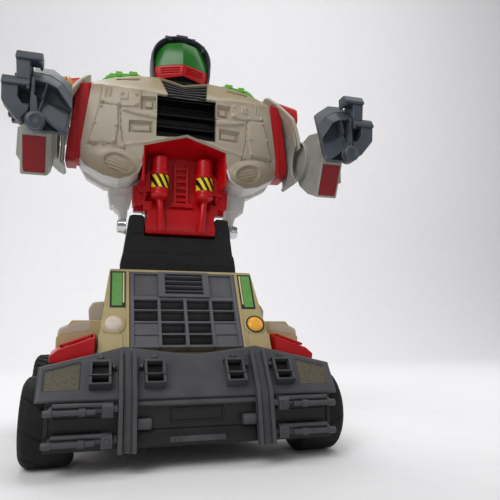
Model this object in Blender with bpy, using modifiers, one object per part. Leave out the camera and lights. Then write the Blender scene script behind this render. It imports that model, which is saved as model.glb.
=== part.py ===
"""Toy robot: a two-armed torso hinged on the cab of a four-wheel truck base.

Metres, +Z up. The robot faces -Y and its own left side is +X. The origin is on the floor,
under the middle of the robot's bounding box.
"""
import math

import bmesh
import bpy
from mathutils import Matrix, Vector

# Fits
CLEARANCE = 0.0003
RUNNING_GAP = 0.0005
WALL = 0.0025

# Wheels and axles
FRONT_TYRE_RADIUS = 0.028
REAR_TYRE_RADIUS = 0.032
TYRE_WIDTH = 0.032
TYRE_SHOULDER = 0.004
TYRE_BAND = 0.010
FRONT_TRACK = 0.106
REAR_TRACK = 0.112
FRONT_AXLE_Y = -0.0575
WHEELBASE = 0.130
AXLE_RADIUS = 0.0025
COLLAR_RADIUS = 0.004
HUB_RADIUS = 0.0065
RIM_WALL = 0.0025
RIM_INSET = 0.001
AXLE_END_INSET = 0.004

# Gear train: one motor, pinion and spur gear for each rear wheel
GEAR_MODULE = 0.0007
GEAR_TEETH = 36
PINION_TEETH = 12
GEAR_BACKLASH = 0.00045
GEAR_WIDTH = 0.006
GEAR_SIDE_GAP = 0.0012
MOTOR_RADIUS = 0.010
MOTOR_LENGTH = 0.025
MOTOR_BOSS_RADIUS = 0.003
MOTOR_BOSS_LENGTH = 0.002
MOTOR_SHAFT_RADIUS = 0.001
MOTOR_SHAFT_DEPTH = 0.010
GEARBOX_INNER_X = 0.0343
GEARBOX_LENGTH = 0.043
GEARBOX_HEIGHT = 0.030

# Chassis pan and what it carries
CHASSIS_HALF_WIDTH = 0.062
FRONT_OVERHANG = 0.0165
REAR_OVERHANG = 0.0275
GROUND_CLEARANCE = 0.012
CHASSIS_FLOOR = 0.003
CHASSIS_HEIGHT = 0.038
BATTERY_CELL_RADIUS = 0.007
BATTERY_CELLS = 4
BATTERY_LENGTH = 0.056
BATTERY_Y = -0.010
BATTERY_MARGIN = 0.002
DOOR_THICKNESS = 0.0022
DOOR_OVERLAP = 0.0025
RAIL_WALL = 0.0025
RAIL_LIP = 0.0035
BOARD_THICKNESS = 0.0016
BOARD_LIFT = 0.006
POST_SIZE = 0.005
SWITCH_WIDTH = 0.006
SWITCH_HEIGHT = 0.0054
SWITCH_TRAVEL = 0.008
SWITCH_PROUD = 0.003
SWITCH_Z = 0.030

# Truck body
DECK_HALF_WIDTH = 0.090
DECK_FRONT_Y = -0.036
DECK_REAR_INSET = 0.002
DECK_TOP = 0.092
DECK_SHOULDER_Z = 0.080
DECK_SHOULDER_X = 0.080
WHEEL_ARCH_GAP = 0.002
SKIRT_FRONT_Y = -0.066
SKIRT_TOP = 0.067
CAB_FOOT_Z = 0.064
CAB_TOP_Z = 0.131
CAB_FOOT_HALF_WIDTH = 0.0635
CAB_TOP_HALF_WIDTH = 0.055
CAB_FOOT_FRONT_Y = -0.058
CAB_TOP_FRONT_Y = -0.021
CAB_REAR_Y = 0.006
CAB_FACE_WALL = 0.006
CAB_SIDE_WALL = 0.0075
SIDE_BOX_INNER_X = 0.056
SIDE_BOX_WIDTH = 0.0135
SIDE_BOX_HEIGHT = 0.015
SIDE_BOX_EDGE = 0.003
SIDE_BOX_FRONT_Y = -0.014
SIDE_BOX_LENGTH = 0.048
BED_RIBS = 4
BED_RIB_X = 0.018
BED_RIB_WIDTH = 0.008
BED_RIB_PITCH = 0.014
BED_RIB_HEIGHT = 0.0016
BED_RIB_FRONT_Y = 0.016
BED_RIB_TAIL = 0.008
FENDER_PROUD = 0.002
FENDER_FRONT_Y = -0.060
FENDER_NOSE = 0.005
FENDER_TOP = 0.0825

# Grille panel, measured up the slope of the cab face
GRILLE_HALF_WIDTH = 0.0405
GRILLE_FOOT = 0.0105
GRILLE_TOP = 0.0740
GRILLE_THICKNESS = 0.003
GRILLE_LEDGE = 0.0035
GRILLE_CELL_HEIGHT = 0.0076
GRILLE_CELL_PITCH = 0.0098
GRILLE_BAR = 0.0022
GRILLE_COLUMNS = 4
GRILLE_ROWS = 4
LOUVRE_HALF_WIDTH = 0.018
LOUVRE_SLOT = 0.0018
LOUVRE_PITCH = 0.0042
LOUVRE_COUNT = 4
HEADLIGHT_RADIUS = 0.0065
HEADLIGHT_DEPTH = 0.003
HEADLIGHT_X = 0.052
HEADLIGHT_RISE = 0.0285

# Bumper, measured up the slope of its plate
BUMPER_FOOT_Y = -0.090
BUMPER_FOOT_Z = 0.043
BUMPER_SLOPE = math.radians(55.5)
BUMPER_HALF_WIDTH = 0.097
BUMPER_SIDE_RISE = 0.0243
BUMPER_PEAK_X = 0.045
BUMPER_PEAK_RISE = 0.0388
BUMPER_DIP_RISE = 0.034
BUMPER_THICKNESS = 0.004
LAMP_OUTER_X = 0.060
LAMP_INNER_X = 0.0265
LAMP_WIDTH = 0.013
LAMP_FOOT = 0.008
LAMP_RISE = 0.019
LAMP_DEPTH = 0.005
LAMP_FRAME = 0.0012
LAMP_POCKET = 0.003
CORNER_INNER_X = 0.072
CORNER_MARGIN = 0.004
CORNER_POCKET = 0.0012
APRON_FOOT_Z = 0.014
APRON_THICKNESS = 0.0024
APRON_HALF_WIDTH = 0.091
APRON_TYRE_GAP = 0.0016
LEDGE_DEPTH = 0.008
LEDGE_HEIGHT = 0.0042
LOWER_LEDGE_Z = 0.0185
POST_INNER_X = 0.038
POST_WIDTH = 0.011
POST_DEPTH = 0.006
POST_FOOT_Z = 0.0135
POST_TOP_RISE = 0.031
POST_LEAN = 0.0065
POST_GROOVE_WIDTH = 0.004
POST_GROOVE_DEPTH = 0.0022
BRACKET_WIDTH = 0.012
BRACKET_X = 0.020

# Waist plate, folding on the cab
WAIST_HINGE_Y = 0.007
WAIST_HINGE_Z = 0.136
WAIST_KNUCKLE_RADIUS = 0.0042
WAIST_KNUCKLE_HALF = 0.009
WAIST_LUG_WIDTH = 0.0067
WAIST_PIN_RADIUS = 0.0015
WAIST_FRONT_Y = -0.003
WAIST_DEPTH = 0.016
WAIST_FOOT_HALF_WIDTH = 0.047
WAIST_STEP_INSET = 0.002
WAIST_TOP_INSET = 0.004
WAIST_STEP_Z = 0.147
WAIST_TOP_Z = 0.177
WAIST_NOTCH_HALF_WIDTH = 0.029
WAIST_NOTCH_Z = 0.1595

# Torso pivot and abdomen
PIVOT_Y = 0.005
PIVOT_Z = 0.169
PIVOT_PIN_RADIUS = 0.003
PIVOT_PIN_INNER_X = 0.022
PIVOT_CAP_RADIUS = 0.0065
PIVOT_CAP_TIP_RADIUS = 0.005
PIVOT_CAP_LENGTH = 0.0085
ABDOMEN_FRONT_Y = -0.004
ABDOMEN_FOOT_Z = 0.1633
FLANGE_HALF_WIDTH = 0.039
FLANGE_FRONT_Y = -0.003
FLANGE_FOOT_Z = 0.186
FLANGE_TOP_Z = 0.200
PANEL_HALF_WIDTH = 0.033
PANEL_FRONT_Y = -0.001
PANEL_THICKNESS = 0.003
CEILING_FRONT_Y = -0.025
CEILING_TOP_Z = 0.2345
LADDER_HALF_WIDTH = 0.006
LADDER_FOOT_Z = 0.190
LADDER_TOP_Z = 0.226
LADDER_PROUD = 0.0025
TANK_RADIUS = 0.00775
TANK_X = 0.018
TANK_FOOT_Z = 0.192
TANK_TOP_Z = 0.228
TANK_STEM_RADIUS = 0.0035

# Chest
CHEST_HALF_WIDTH = 0.084
CHEST_TOP_Z = 0.2965
CHEST_TOP_HALF_WIDTH = 0.036
CHEST_YOKE_X = 0.060
CHEST_YOKE_DROP = 0.0045
CHEST_SHOULDER_X = 0.078
CHEST_SHOULDER_DROP = 0.0125
CHEST_SIDE_TOP_Z = 0.270
CHEST_SIDE_FOOT_Z = 0.222
CHEST_CHIN_X = 0.076
CHEST_CHIN_Z = 0.2045
CHEST_FOOT_HALF_WIDTH = 0.058
CHEST_SPLIT_Y = 0.004
CHEST_FRONT_Y = -0.028
CHEST_BACK_Y = 0.033
LOBE_X = 0.0575
LOBE_RISE = 0.0133
LOBE_HALF_WIDTH = 0.024
LOBE_HALF_HEIGHT = 0.0118
LOBE_LEAN = 16
LOBE_ROOT_Y = -0.008
LOBE_FRONT_Y = -0.026
PACK_HALF_WIDTH = 0.030
PACK_FOOT_Z = 0.238
PACK_HEIGHT = 0.048
PACK_PROUD = 0.003
PACK_EDGE = 0.004
PACK_ROOT_Y = 0.020
VENT_HALF_WIDTH = 0.023
VENT_FOOT_Z = 0.239
VENT_TOP_Z = 0.2715
VENT_DEPTH = 0.0085
VENT_RIBS = 3
VENT_GROOVE = 0.004
STRUT_INNER_X = 0.043
STRUT_WIDTH = 0.013
STRUT_FOOT_WIDTH = 0.008
STRUT_STEP_Z = 0.186
STRUT_FOOT_Z = 0.178
STRUT_FRONT_Y = 0.005
STRUT_DEPTH = 0.017
POD_INNER_X = 0.038
POD_WIDTH = 0.022
POD_FRONT_Y = -0.004
POD_LENGTH = 0.022
POD_HEIGHT = 0.008

# Head
HEAD_Y = 0.017
HEAD_FOOT_Z = 0.301
HEAD_TOP_Z = 0.3485
HEAD_HALF_WIDTH = 0.0262
HEAD_HALF_DEPTH = 0.023
FACE_HALF_WIDTH = 0.0235
FACE_CORNER_X = 0.020
FACE_SIDE_Y = 0.013
FACE_CORNER_Y = 0.004
FACE_RIDGE_Y = -0.001
FACE_THICKNESS = 0.004
VISOR_FOOT_Z = 0.314
VISOR_TOP_Z = 0.3365
NECK_RADIUS = 0.009
NECK_DEPTH = 0.006

# Arms
SHOULDER_Y = -0.004
SHOULDER_Z = 0.251
SHOULDER_SHAFT_RADIUS = 0.006
SHOULDER_SHAFT_LENGTH = 0.014
HUB_DISC_RADIUS = 0.033
HUB_DISC_OUTER_RADIUS = 0.0315
HUB_DISC_WIDTH = 0.0055
UPPER_ARM_RADIUS = 0.020
UPPER_ARM_WIDTH = 0.0027
ELBOW_BOSS = 0.0066
ELBOW_Y = -0.026
ELBOW_Z = 0.228
ELBOW_RADIUS = 0.013
ELBOW_PIN_RADIUS = 0.004
PAD_INNER_X = 0.0805
PAD_OUTER_X = 0.0998
PAD_TOP_Z = 0.2965
PAD_FOOT_Z = 0.242
PAD_THICKNESS = 0.0025
PAD_FULLNESS = 2.6
PAD_TOP_FRONT_Y = 0.002
PAD_FOOT_FRONT_Y = -0.028
PAD_REAR_Y = 0.024
PAD_BOSS_HALF = 0.006
FOREARM_WIDTH = 0.018
FOREARM_EDGE = 0.0015
FOREARM_WRIST_DROP = 0.020
FOREARM_WRIST_RISE = 0.010
FOREARM_BROW = 0.014
FOREARM_CREST = 0.019
FOREARM_HEEL = 0.006
FOREARM_HEEL_RISE = 0.018
FOREARM_REAR = 0.017
FOREARM_REAR_RISE = 0.008
FOREARM_REAR_DROP = 0.006
FOREARM_TAIL = 0.010
FOREARM_TAIL_DROP = 0.020
FOREARM_CHIN = 0.012
FOREARM_CHIN_DROP = 0.034
WRIST_Y = -0.067
WRIST_Z = 0.230
WRIST_RADIUS = 0.006
WRIST_LENGTH = 0.010
FIST_INNER_REACH = 0.019
FIST_OUTER_REACH = 0.0165
FIST_DEPTH = 0.038
FIST_FOOT_Z = 0.2095
FIST_HEIGHT = 0.036
FIST_PLATE = 0.003
FIST_EDGE = 0.003
CLAW_RISE = 0.005
CLAW_PIN_RADIUS = 0.0025
CLAW_LUG_RADIUS = 0.005
CLAW_LUG_LENGTH = 0.009
FINGER_BAR = 0.005
FINGER_TIP = 0.004
FINGER_DROP = 0.001
FINGER_DEPTH = 0.020
FINGER_CURL = 0.007

# Finishes: linear colour, roughness, metallic
FINISHES = {
    "beige": ((0.39, 0.34, 0.25), 0.42, 0.0),
    "red": ((0.45, 0.008, 0.018), 0.35, 0.0),
    "dark_grey": ((0.09, 0.095, 0.10), 0.5, 0.0),
    "black": ((0.015, 0.015, 0.017), 0.45, 0.0),
    "rubber": ((0.012, 0.012, 0.012), 0.8, 0.0),
    "chrome": ((0.75, 0.76, 0.78), 0.15, 1.0),
    "steel": ((0.5, 0.5, 0.52), 0.3, 1.0),
    "nylon": ((0.75, 0.73, 0.68), 0.5, 0.0),
    "green": ((0.03, 0.22, 0.03), 0.15, 0.0),
    "lime": ((0.11, 0.53, 0.03), 0.4, 0.0),
    "amber": ((0.88, 0.38, 0.03), 0.4, 0.0),
    "cream": ((0.58, 0.50, 0.40), 0.5, 0.0),
    "board": ((0.02, 0.16, 0.06), 0.5, 0.0),
    "wrap": ((0.03, 0.10, 0.35), 0.4, 0.0),
}

SIDES = (("left", 1), ("right", -1))
MERGE = 0.00001
DECIMALS = 7
DRAWING_SCALE = 1000.0
AXES = {
    "X": Matrix(((0, 0, 1), (1, 0, 0), (0, 1, 0))).to_4x4(),
    "Y": Matrix(((1, 0, 0), (0, 0, -1), (0, 1, 0))).to_4x4(),
    "Z": Matrix.Identity(4),
}


# Scene

def clear_scene():
    for obj in list(bpy.data.objects):
        bpy.data.objects.remove(obj)


def new_collection(name):
    group = bpy.data.collections.new(name)
    bpy.context.scene.collection.children.link(group)
    return group


clear_scene()
PARTS = new_collection("toy_robot")
CUTTERS = new_collection("cutters")


def paint(obj, finish):
    colour, roughness, metallic = FINISHES[finish]
    coat = bpy.data.materials.new(obj.name)
    coat.use_nodes = True
    shader = coat.node_tree.nodes["Principled BSDF"]
    shader.inputs["Base Color"].default_value = (*colour, 1.0)
    shader.inputs["Roughness"].default_value = roughness
    shader.inputs["Metallic"].default_value = metallic
    obj.data.materials.clear()
    obj.data.materials.append(coat)


def add_part(name, obj, finish, pivot=None, smooth=False):
    """Keep a shape as a named piece, carried by the empty on its joint axis if it moves."""
    obj.name = name
    obj.data.name = name
    PARTS.objects.link(obj)
    paint(obj, finish)
    if smooth:
        obj.data.shade_smooth()
        obj.data.set_sharp_from_angle(angle=math.radians(35))
    if pivot is not None:
        obj.parent = pivot
        obj.matrix_parent_inverse = Matrix.Translation(-pivot.location)
    return obj


def add_pivot(name, location, parent=None):
    """An empty on a joint axis."""
    empty = bpy.data.objects.new(name, None)
    empty.empty_display_size = 0.01
    empty.location = location
    PARTS.objects.link(empty)
    if parent is not None:
        empty.parent = parent
        empty.matrix_parent_inverse = Matrix.Translation(-parent.location)
    return empty


# Shapes

def mesh_object(bm):
    """A mesh object whose points are rounded, so that flush faces are exactly flush."""
    for vert in bm.verts:
        vert.co = [round(value, DECIMALS) for value in vert.co]
    mesh = bpy.data.meshes.new("shape")
    bm.to_mesh(mesh)
    bm.free()
    return bpy.data.objects.new("shape", mesh)


def span(sign, inner, outer):
    """X range between two distances from the middle plane, on one side."""
    return tuple(sorted((sign * inner, sign * outer)))


def both(half):
    return (-half, half)


def box(x, y, z):
    size = Matrix.Diagonal((x[1] - x[0], y[1] - y[0], z[1] - z[0], 1.0))
    middle = Matrix.Translation(((x[0] + x[1]) / 2, (y[0] + y[1]) / 2, (z[0] + z[1]) / 2))
    bm = bmesh.new()
    bmesh.ops.create_cube(bm, size=1.0, matrix=middle @ size)
    return mesh_object(bm)


def tapered_box(foot, top):
    """A block between two level rectangles, each given as half width, front, rear, height."""
    bm = bmesh.new()
    bmesh.ops.create_cube(bm, size=2.0)
    for vert in bm.verts:
        half_width, front, rear, height = top if vert.co.z > 0 else foot
        vert.co = (vert.co.x * half_width, front if vert.co.y < 0 else rear, height)
    return mesh_object(bm)


def cylinder(radius, axis, centre, start, end, segments=24):
    """A round bar along an axis through a centre, from start to end on that axis."""
    place = Matrix.Translation(centre) @ AXES[axis] @ Matrix.Translation((0, 0, (start + end) / 2))
    bm = bmesh.new()
    bmesh.ops.create_cone(bm, cap_ends=True, segments=segments, radius1=radius, radius2=radius,
                          depth=abs(end - start), matrix=place)
    return mesh_object(bm)


def turned(profile, axis, centre, segments=32, closed=False, flip=False):
    """Turn a profile of (radius, height) points, listed down its outer side."""
    points = [(r, -h) for r, h in reversed(profile)] if flip else profile
    mesh = bpy.data.meshes.new("profile")
    edges = [(i, i + 1) for i in range(len(points) - 1)]
    if closed:
        edges.append((len(points) - 1, 0))
    mesh.from_pydata([(r, 0.0, h) for r, h in points], edges, [])
    obj = bpy.data.objects.new("profile", mesh)
    obj.matrix_world = Matrix.Translation(centre) @ AXES[axis]
    screw = obj.modifiers.new("turn", "SCREW")
    screw.axis = "Z"
    screw.steps = segments
    screw.render_steps = segments
    screw.use_merge_vertices = True
    screw.merge_threshold = MERGE
    screw.use_smooth_shade = True
    return obj


def prism(outlines, axis, start, end):
    """Extrude a flat outline along an axis; outlines after the first are holes in it."""
    curve = bpy.data.curves.new("outline", "CURVE")
    curve.dimensions = "2D"
    curve.fill_mode = "BOTH"
    curve.extrude = abs(end - start) / 2 * DRAWING_SCALE
    for points in outlines:
        spline = curve.splines.new("POLY")
        spline.points.add(len(points) - 1)
        for point, (u, v) in zip(spline.points, points):
            point.co = (u * DRAWING_SCALE, v * DRAWING_SCALE, 0.0, 1.0)
        spline.use_cyclic_u = True
    drawing = bpy.data.objects.new("outline", curve)
    CUTTERS.objects.link(drawing)
    drawn = drawing.evaluated_get(bpy.context.evaluated_depsgraph_get())
    mesh = bpy.data.meshes.new_from_object(drawn)
    bpy.data.objects.remove(drawing)
    bm = bmesh.new()
    bm.from_mesh(mesh)
    bpy.data.meshes.remove(mesh)
    bm.transform(AXES[axis] @ Matrix.Scale(1.0 / DRAWING_SCALE, 4))
    middle = AXES["Z"].copy()
    offset = AXES[axis].to_3x3() @ Vector((0, 0, 1))
    along = (start + end) / 2
    middle.translation = Vector((abs(offset.x), abs(offset.y), abs(offset.z))) * along
    bm.transform(middle)
    bmesh.ops.remove_doubles(bm, verts=bm.verts, dist=MERGE)
    bmesh.ops.recalc_face_normals(bm, faces=bm.faces)
    return mesh_object(bm)


def loft(sections):
    """Skin a row of outlines with the same number of points, and cap both ends."""
    bm = bmesh.new()
    rings = [[bm.verts.new(point) for point in section] for section in sections]
    for near, far in zip(rings, rings[1:]):
        for i in range(len(near)):
            j = (i + 1) % len(near)
            bm.faces.new((near[i], near[j], far[j], far[i]))
    bm.faces.new(rings[0])
    bm.faces.new(rings[-1])
    bmesh.ops.recalc_face_normals(bm, faces=bm.faces)
    return mesh_object(bm)


def placed(obj, matrix):
    obj.data.transform(matrix)
    return obj


def combine(obj, operation, tools):
    for tool in tools:
        CUTTERS.objects.link(tool)
        tool.hide_render = True
        tool.display_type = "WIRE"
        step = obj.modifiers.new(operation.lower(), "BOOLEAN")
        step.operation = operation
        step.solver = "EXACT"
        step.object = tool
    return obj


def fuse(obj, *tools):
    return combine(obj, "UNION", tools)


def cut(obj, *tools):
    return combine(obj, "DIFFERENCE", tools)


def soften(obj, width, segments=2):
    bevel = obj.modifiers.new("rounding", "BEVEL")
    bevel.width = width
    bevel.segments = segments
    bevel.limit_method = "ANGLE"
    bevel.angle_limit = math.radians(35)
    return obj


def rectangle(u, v):
    return [(u[0], v[0]), (u[1], v[0]), (u[1], v[1]), (u[0], v[1])]


def arc(centre, radius, start, end, steps):
    """Points on an arc, angles in degrees."""
    turns = [math.radians(start + (end - start) * i / steps) for i in range(steps + 1)]
    return [(centre[0] + radius * math.cos(a), centre[1] + radius * math.sin(a)) for a in turns]


def circle(centre, radius, steps=24):
    return arc(centre, radius, 0, 360, steps)[:-1]


def mirrored(half):
    """A closed outline from its right half, listed from top to foot."""
    return half + [(-u, v) for u, v in reversed(half)]


def belt(first, first_radius, second, second_radius, steps=12):
    """The outline of a belt round two circles."""
    run = math.degrees(math.atan2(second[1] - first[1], second[0] - first[0]))
    distance = math.hypot(second[0] - first[0], second[1] - first[1])
    lean = math.degrees(math.acos((first_radius - second_radius) / distance))
    around_first = arc(first, first_radius, run + lean, run + 360 - lean, 2 * steps)
    around_second = arc(second, second_radius, run - lean, run + lean, steps)
    return around_first + around_second


def slope_frame(origin, angle):
    """Local X across, local Y up a slope that leans back from the front, local Z out of it."""
    return Matrix.Translation(origin) @ Matrix.Rotation(angle, 4, "X")


# Derived places

FRONT_AXLE = (0.0, FRONT_AXLE_Y, FRONT_TYRE_RADIUS)
REAR_AXLE = (0.0, FRONT_AXLE_Y + WHEELBASE, REAR_TYRE_RADIUS)
GEAR_PITCH_RADIUS = GEAR_MODULE * GEAR_TEETH / 2
PINION_PITCH_RADIUS = GEAR_MODULE * PINION_TEETH / 2
CHASSIS_FRONT_Y = FRONT_AXLE_Y - FRONT_OVERHANG
CHASSIS_REAR_Y = REAR_AXLE[1] + REAR_OVERHANG
DECK_REAR_Y = CHASSIS_REAR_Y - DECK_REAR_INSET
FENDER_OUTER_X = DECK_HALF_WIDTH + FENDER_PROUD
MOTOR_AXIS = (0.0, REAR_AXLE[1] - GEAR_PITCH_RADIUS - PINION_PITCH_RADIUS, REAR_AXLE[2])
GEAR_INNER_X = GEARBOX_INNER_X + WALL + GEAR_SIDE_GAP
FLOOR_TOP = GROUND_CLEARANCE + CHASSIS_FLOOR
CHASSIS_TOP = GROUND_CLEARANCE + CHASSIS_HEIGHT
BODY_FOOT = CHASSIS_TOP + CLEARANCE
ARCH_Z = 2 * REAR_TYRE_RADIUS + WHEEL_ARCH_GAP
CAB_SLOPE = math.atan2(CAB_TOP_Z - CAB_FOOT_Z, CAB_TOP_FRONT_Y - CAB_FOOT_FRONT_Y)
CAB_FACE = slope_frame((0.0, CAB_FOOT_FRONT_Y, CAB_FOOT_Z), CAB_SLOPE)
BUMPER_FACE = slope_frame((0.0, BUMPER_FOOT_Y, BUMPER_FOOT_Z), BUMPER_SLOPE)
WAIST_STEP_HALF_WIDTH = WAIST_FOOT_HALF_WIDTH - WAIST_STEP_INSET
WAIST_TOP_HALF_WIDTH = WAIST_STEP_HALF_WIDTH - WAIST_TOP_INSET
CHEST_FOOT_Z = FLANGE_TOP_Z + CLEARANCE
LOBE_Z = CHEST_FOOT_Z + LOBE_RISE
PACK_REAR_Y = CHEST_BACK_Y + PACK_PROUD
HUB_INNER_X = CHEST_HALF_WIDTH + RUNNING_GAP
UPPER_ARM_X = HUB_INNER_X + HUB_DISC_WIDTH + CLEARANCE
ELBOW_BOSS_X = UPPER_ARM_X + UPPER_ARM_WIDTH + ELBOW_BOSS
FOREARM_X = ELBOW_BOSS_X + CLEARANCE
WRIST_X = FOREARM_X + FOREARM_WIDTH / 2
FIST_SEAM_X = WRIST_X
FIST_TOP_Z = FIST_FOOT_Z + FIST_HEIGHT
CLAW_Z = FIST_FOOT_Z + CLAW_RISE
FIST_INNER_X = FIST_SEAM_X - FIST_INNER_REACH
FIST_OUTER_X = FIST_SEAM_X + FIST_OUTER_REACH
HINGE_LUG_OUTER_X = WAIST_KNUCKLE_HALF + CLEARANCE + WAIST_LUG_WIDTH


# Chassis pan and what it carries

BATTERY_HALF_DEPTH = BATTERY_CELLS * BATTERY_CELL_RADIUS
BATTERY_Y_RANGE = (BATTERY_Y - BATTERY_HALF_DEPTH, BATTERY_Y + BATTERY_HALF_DEPTH)
OPENING_X = BATTERY_LENGTH / 2 + BATTERY_MARGIN
OPENING_Y = (BATTERY_Y_RANGE[0] - BATTERY_MARGIN, BATTERY_Y_RANGE[1] + BATTERY_MARGIN)
DOOR_HALF_WIDTH = OPENING_X + DOOR_OVERLAP
DOOR_TOP = GROUND_CLEARANCE - CLEARANCE
DOOR_FOOT = DOOR_TOP - DOOR_THICKNESS
BATTERY_TOP = DOOR_TOP + CLEARANCE + 2 * BATTERY_CELL_RADIUS
BOARD_FOOT = BATTERY_TOP + BOARD_LIFT
POST_X = DOOR_HALF_WIDTH + POST_SIZE


def board_posts():
    for x in (-POST_X, POST_X):
        for y in OPENING_Y:
            yield (x - POST_SIZE / 2, x + POST_SIZE / 2), (y - POST_SIZE / 2, y + POST_SIZE / 2)


def door_rail(sign):
    """An angle rail under the floor, whose lip carries one edge of the battery door."""
    wall_x = DOOR_HALF_WIDTH + CLEARANCE
    lip_top = DOOR_FOOT - CLEARANCE
    outline = [(wall_x, GROUND_CLEARANCE + CHASSIS_FLOOR / 2), (wall_x, lip_top),
               (wall_x - RAIL_LIP, lip_top), (wall_x - RAIL_LIP, lip_top - RAIL_WALL),
               (wall_x + RAIL_WALL, lip_top - RAIL_WALL),
               (wall_x + RAIL_WALL, GROUND_CLEARANCE + CHASSIS_FLOOR / 2)]
    return prism([[(sign * x, z) for x, z in outline]], "Y", *OPENING_Y)


def build_chassis():
    pan = box(both(CHASSIS_HALF_WIDTH), (CHASSIS_FRONT_Y, CHASSIS_REAR_Y),
              (GROUND_CLEARANCE, CHASSIS_TOP))
    cut(pan, box(both(CHASSIS_HALF_WIDTH - WALL), (CHASSIS_FRONT_Y + WALL, CHASSIS_REAR_Y - WALL),
                 (FLOOR_TOP, CHASSIS_TOP + WALL)))
    for x, y in board_posts():
        fuse(pan, box(x, y, (FLOOR_TOP - CHASSIS_FLOOR / 2, BOARD_FOOT - CLEARANCE)))
    fuse(pan, door_rail(1), door_rail(-1))
    slot = (SWITCH_WIDTH + SWITCH_TRAVEL) / 2 + CLEARANCE
    bore = AXLE_RADIUS + CLEARANCE
    reach = CHASSIS_HALF_WIDTH + WALL
    cut(pan,
        box(both(OPENING_X), OPENING_Y, (GROUND_CLEARANCE - WALL, FLOOR_TOP + WALL)),
        cylinder(bore, "X", FRONT_AXLE, -reach, reach),
        cylinder(bore, "X", REAR_AXLE, -reach, reach),
        box(both(slot), (CHASSIS_REAR_Y - 2 * WALL, CHASSIS_REAR_Y + WALL),
            (SWITCH_Z - SWITCH_HEIGHT / 2 - CLEARANCE, SWITCH_Z + SWITCH_HEIGHT / 2 + CLEARANCE)))
    add_part("chassis_pan", pan, "dark_grey")


def build_battery():
    """A shrink-wrapped pack of cells lying side by side, standing on the door."""
    low = DOOR_TOP + CLEARANCE + BATTERY_CELL_RADIUS
    centres = [BATTERY_Y_RANGE[0] + (2 * i + 1) * BATTERY_CELL_RADIUS for i in range(BATTERY_CELLS)]
    under = []
    over = []
    for i, y in enumerate(centres):
        first = 180 if i == 0 else 210
        last = 360 if i == BATTERY_CELLS - 1 else 330
        under += arc((y, low), BATTERY_CELL_RADIUS, first, last, 6)
        over += arc((y, low), BATTERY_CELL_RADIUS, 360 - last, 360 - first, 6)[::-1]
    outline = under + over[::-1]
    pack = prism([outline_without_repeats(outline)], "X", *both(BATTERY_LENGTH / 2))
    add_part("battery_pack", pack, "wrap", smooth=True)


def outline_without_repeats(points):
    kept = []
    for point in points:
        if all(math.dist(point, other) > MERGE for other in kept):
            kept.append(point)
    return kept


def build_battery_door():
    pivot = add_pivot("battery_door_slide", (0.0, BATTERY_Y, DOOR_FOOT))
    door = box(both(DOOR_HALF_WIDTH), OPENING_Y, (DOOR_FOOT, DOOR_TOP))
    add_part("battery_door", door, "dark_grey", pivot)


def build_receiver_board():
    board = box(both(POST_X + POST_SIZE / 2), (OPENING_Y[0] - POST_SIZE / 2, OPENING_Y[1] + POST_SIZE / 2),
                (BOARD_FOOT, BOARD_FOOT + BOARD_THICKNESS))
    top = BOARD_FOOT + BOARD_THICKNESS
    chips = (((-0.020, -0.006), (-0.025, -0.016), 0.004), ((0.004, 0.014), (-0.020, -0.012), 0.009),
             ((-0.018, -0.010), (0.000, 0.008), 0.007), ((0.010, 0.026), (0.000, 0.010), 0.004))
    for x, y, height in chips:
        fuse(board, box(x, y, (top - BOARD_THICKNESS / 2, top + height)))
    add_part("receiver_board", board, "board")


def build_power_switch():
    pivot = add_pivot("power_switch_slide", (-SWITCH_TRAVEL / 2, CHASSIS_REAR_Y, SWITCH_Z))
    x = (-SWITCH_TRAVEL / 2 - SWITCH_WIDTH / 2, -SWITCH_TRAVEL / 2 + SWITCH_WIDTH / 2)
    knob = box(x, (CHASSIS_REAR_Y - 2 * WALL, CHASSIS_REAR_Y + SWITCH_PROUD),
               (SWITCH_Z - SWITCH_HEIGHT / 2, SWITCH_Z + SWITCH_HEIGHT / 2))
    add_part("power_switch", knob, "black", pivot)


# Wheels and drive

def tyre_shape(radius, centre):
    half = TYRE_WIDTH / 2
    inner = radius - TYRE_BAND
    profile = [(radius - TYRE_SHOULDER / 2, half), (radius, half - TYRE_SHOULDER),
               (radius, TYRE_SHOULDER - half), (radius - TYRE_SHOULDER / 2, -half),
               (inner, -half), (inner, half)]
    return turned(profile, "X", centre, closed=True)


def rim_shape(tyre_radius, centre, flip):
    """A dished wheel: barrel, web and hub round the axle."""
    barrel = tyre_radius - TYRE_BAND - CLEARANCE
    half = TYRE_WIDTH / 2 - RIM_INSET
    bore = AXLE_RADIUS + CLEARANCE
    web = RIM_WALL / 2
    profile = [(barrel, half), (barrel, -half), (barrel - RIM_WALL, -half), (barrel - RIM_WALL, -web),
               (HUB_RADIUS, -web), (HUB_RADIUS, -half), (bore, -half), (bore, half - RIM_WALL),
               (HUB_RADIUS, half - RIM_WALL), (HUB_RADIUS, web), (barrel - RIM_WALL, web),
               (barrel - RIM_WALL, half)]
    return turned(profile, "X", centre, segments=24, closed=True, flip=flip)


def wheel_middle(track):
    return track - TYRE_WIDTH / 2


def collar_span(track):
    """Where the axle is thick: between the chassis wall and the wheel hub."""
    return CHASSIS_HALF_WIDTH + CLEARANCE, track - TYRE_WIDTH + RIM_INSET - CLEARANCE


def build_front_axle():
    end = FRONT_TRACK - AXLE_END_INSET
    near, far = collar_span(FRONT_TRACK)
    half = [(AXLE_RADIUS, end), (AXLE_RADIUS, far), (COLLAR_RADIUS, far), (COLLAR_RADIUS, near),
            (AXLE_RADIUS, near)]
    profile = [(0.0, end)] + half + [(r, -x) for r, x in reversed(half)] + [(0.0, -end)]
    add_part("front_axle", turned(profile, "X", FRONT_AXLE, segments=16), "steel")


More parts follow.
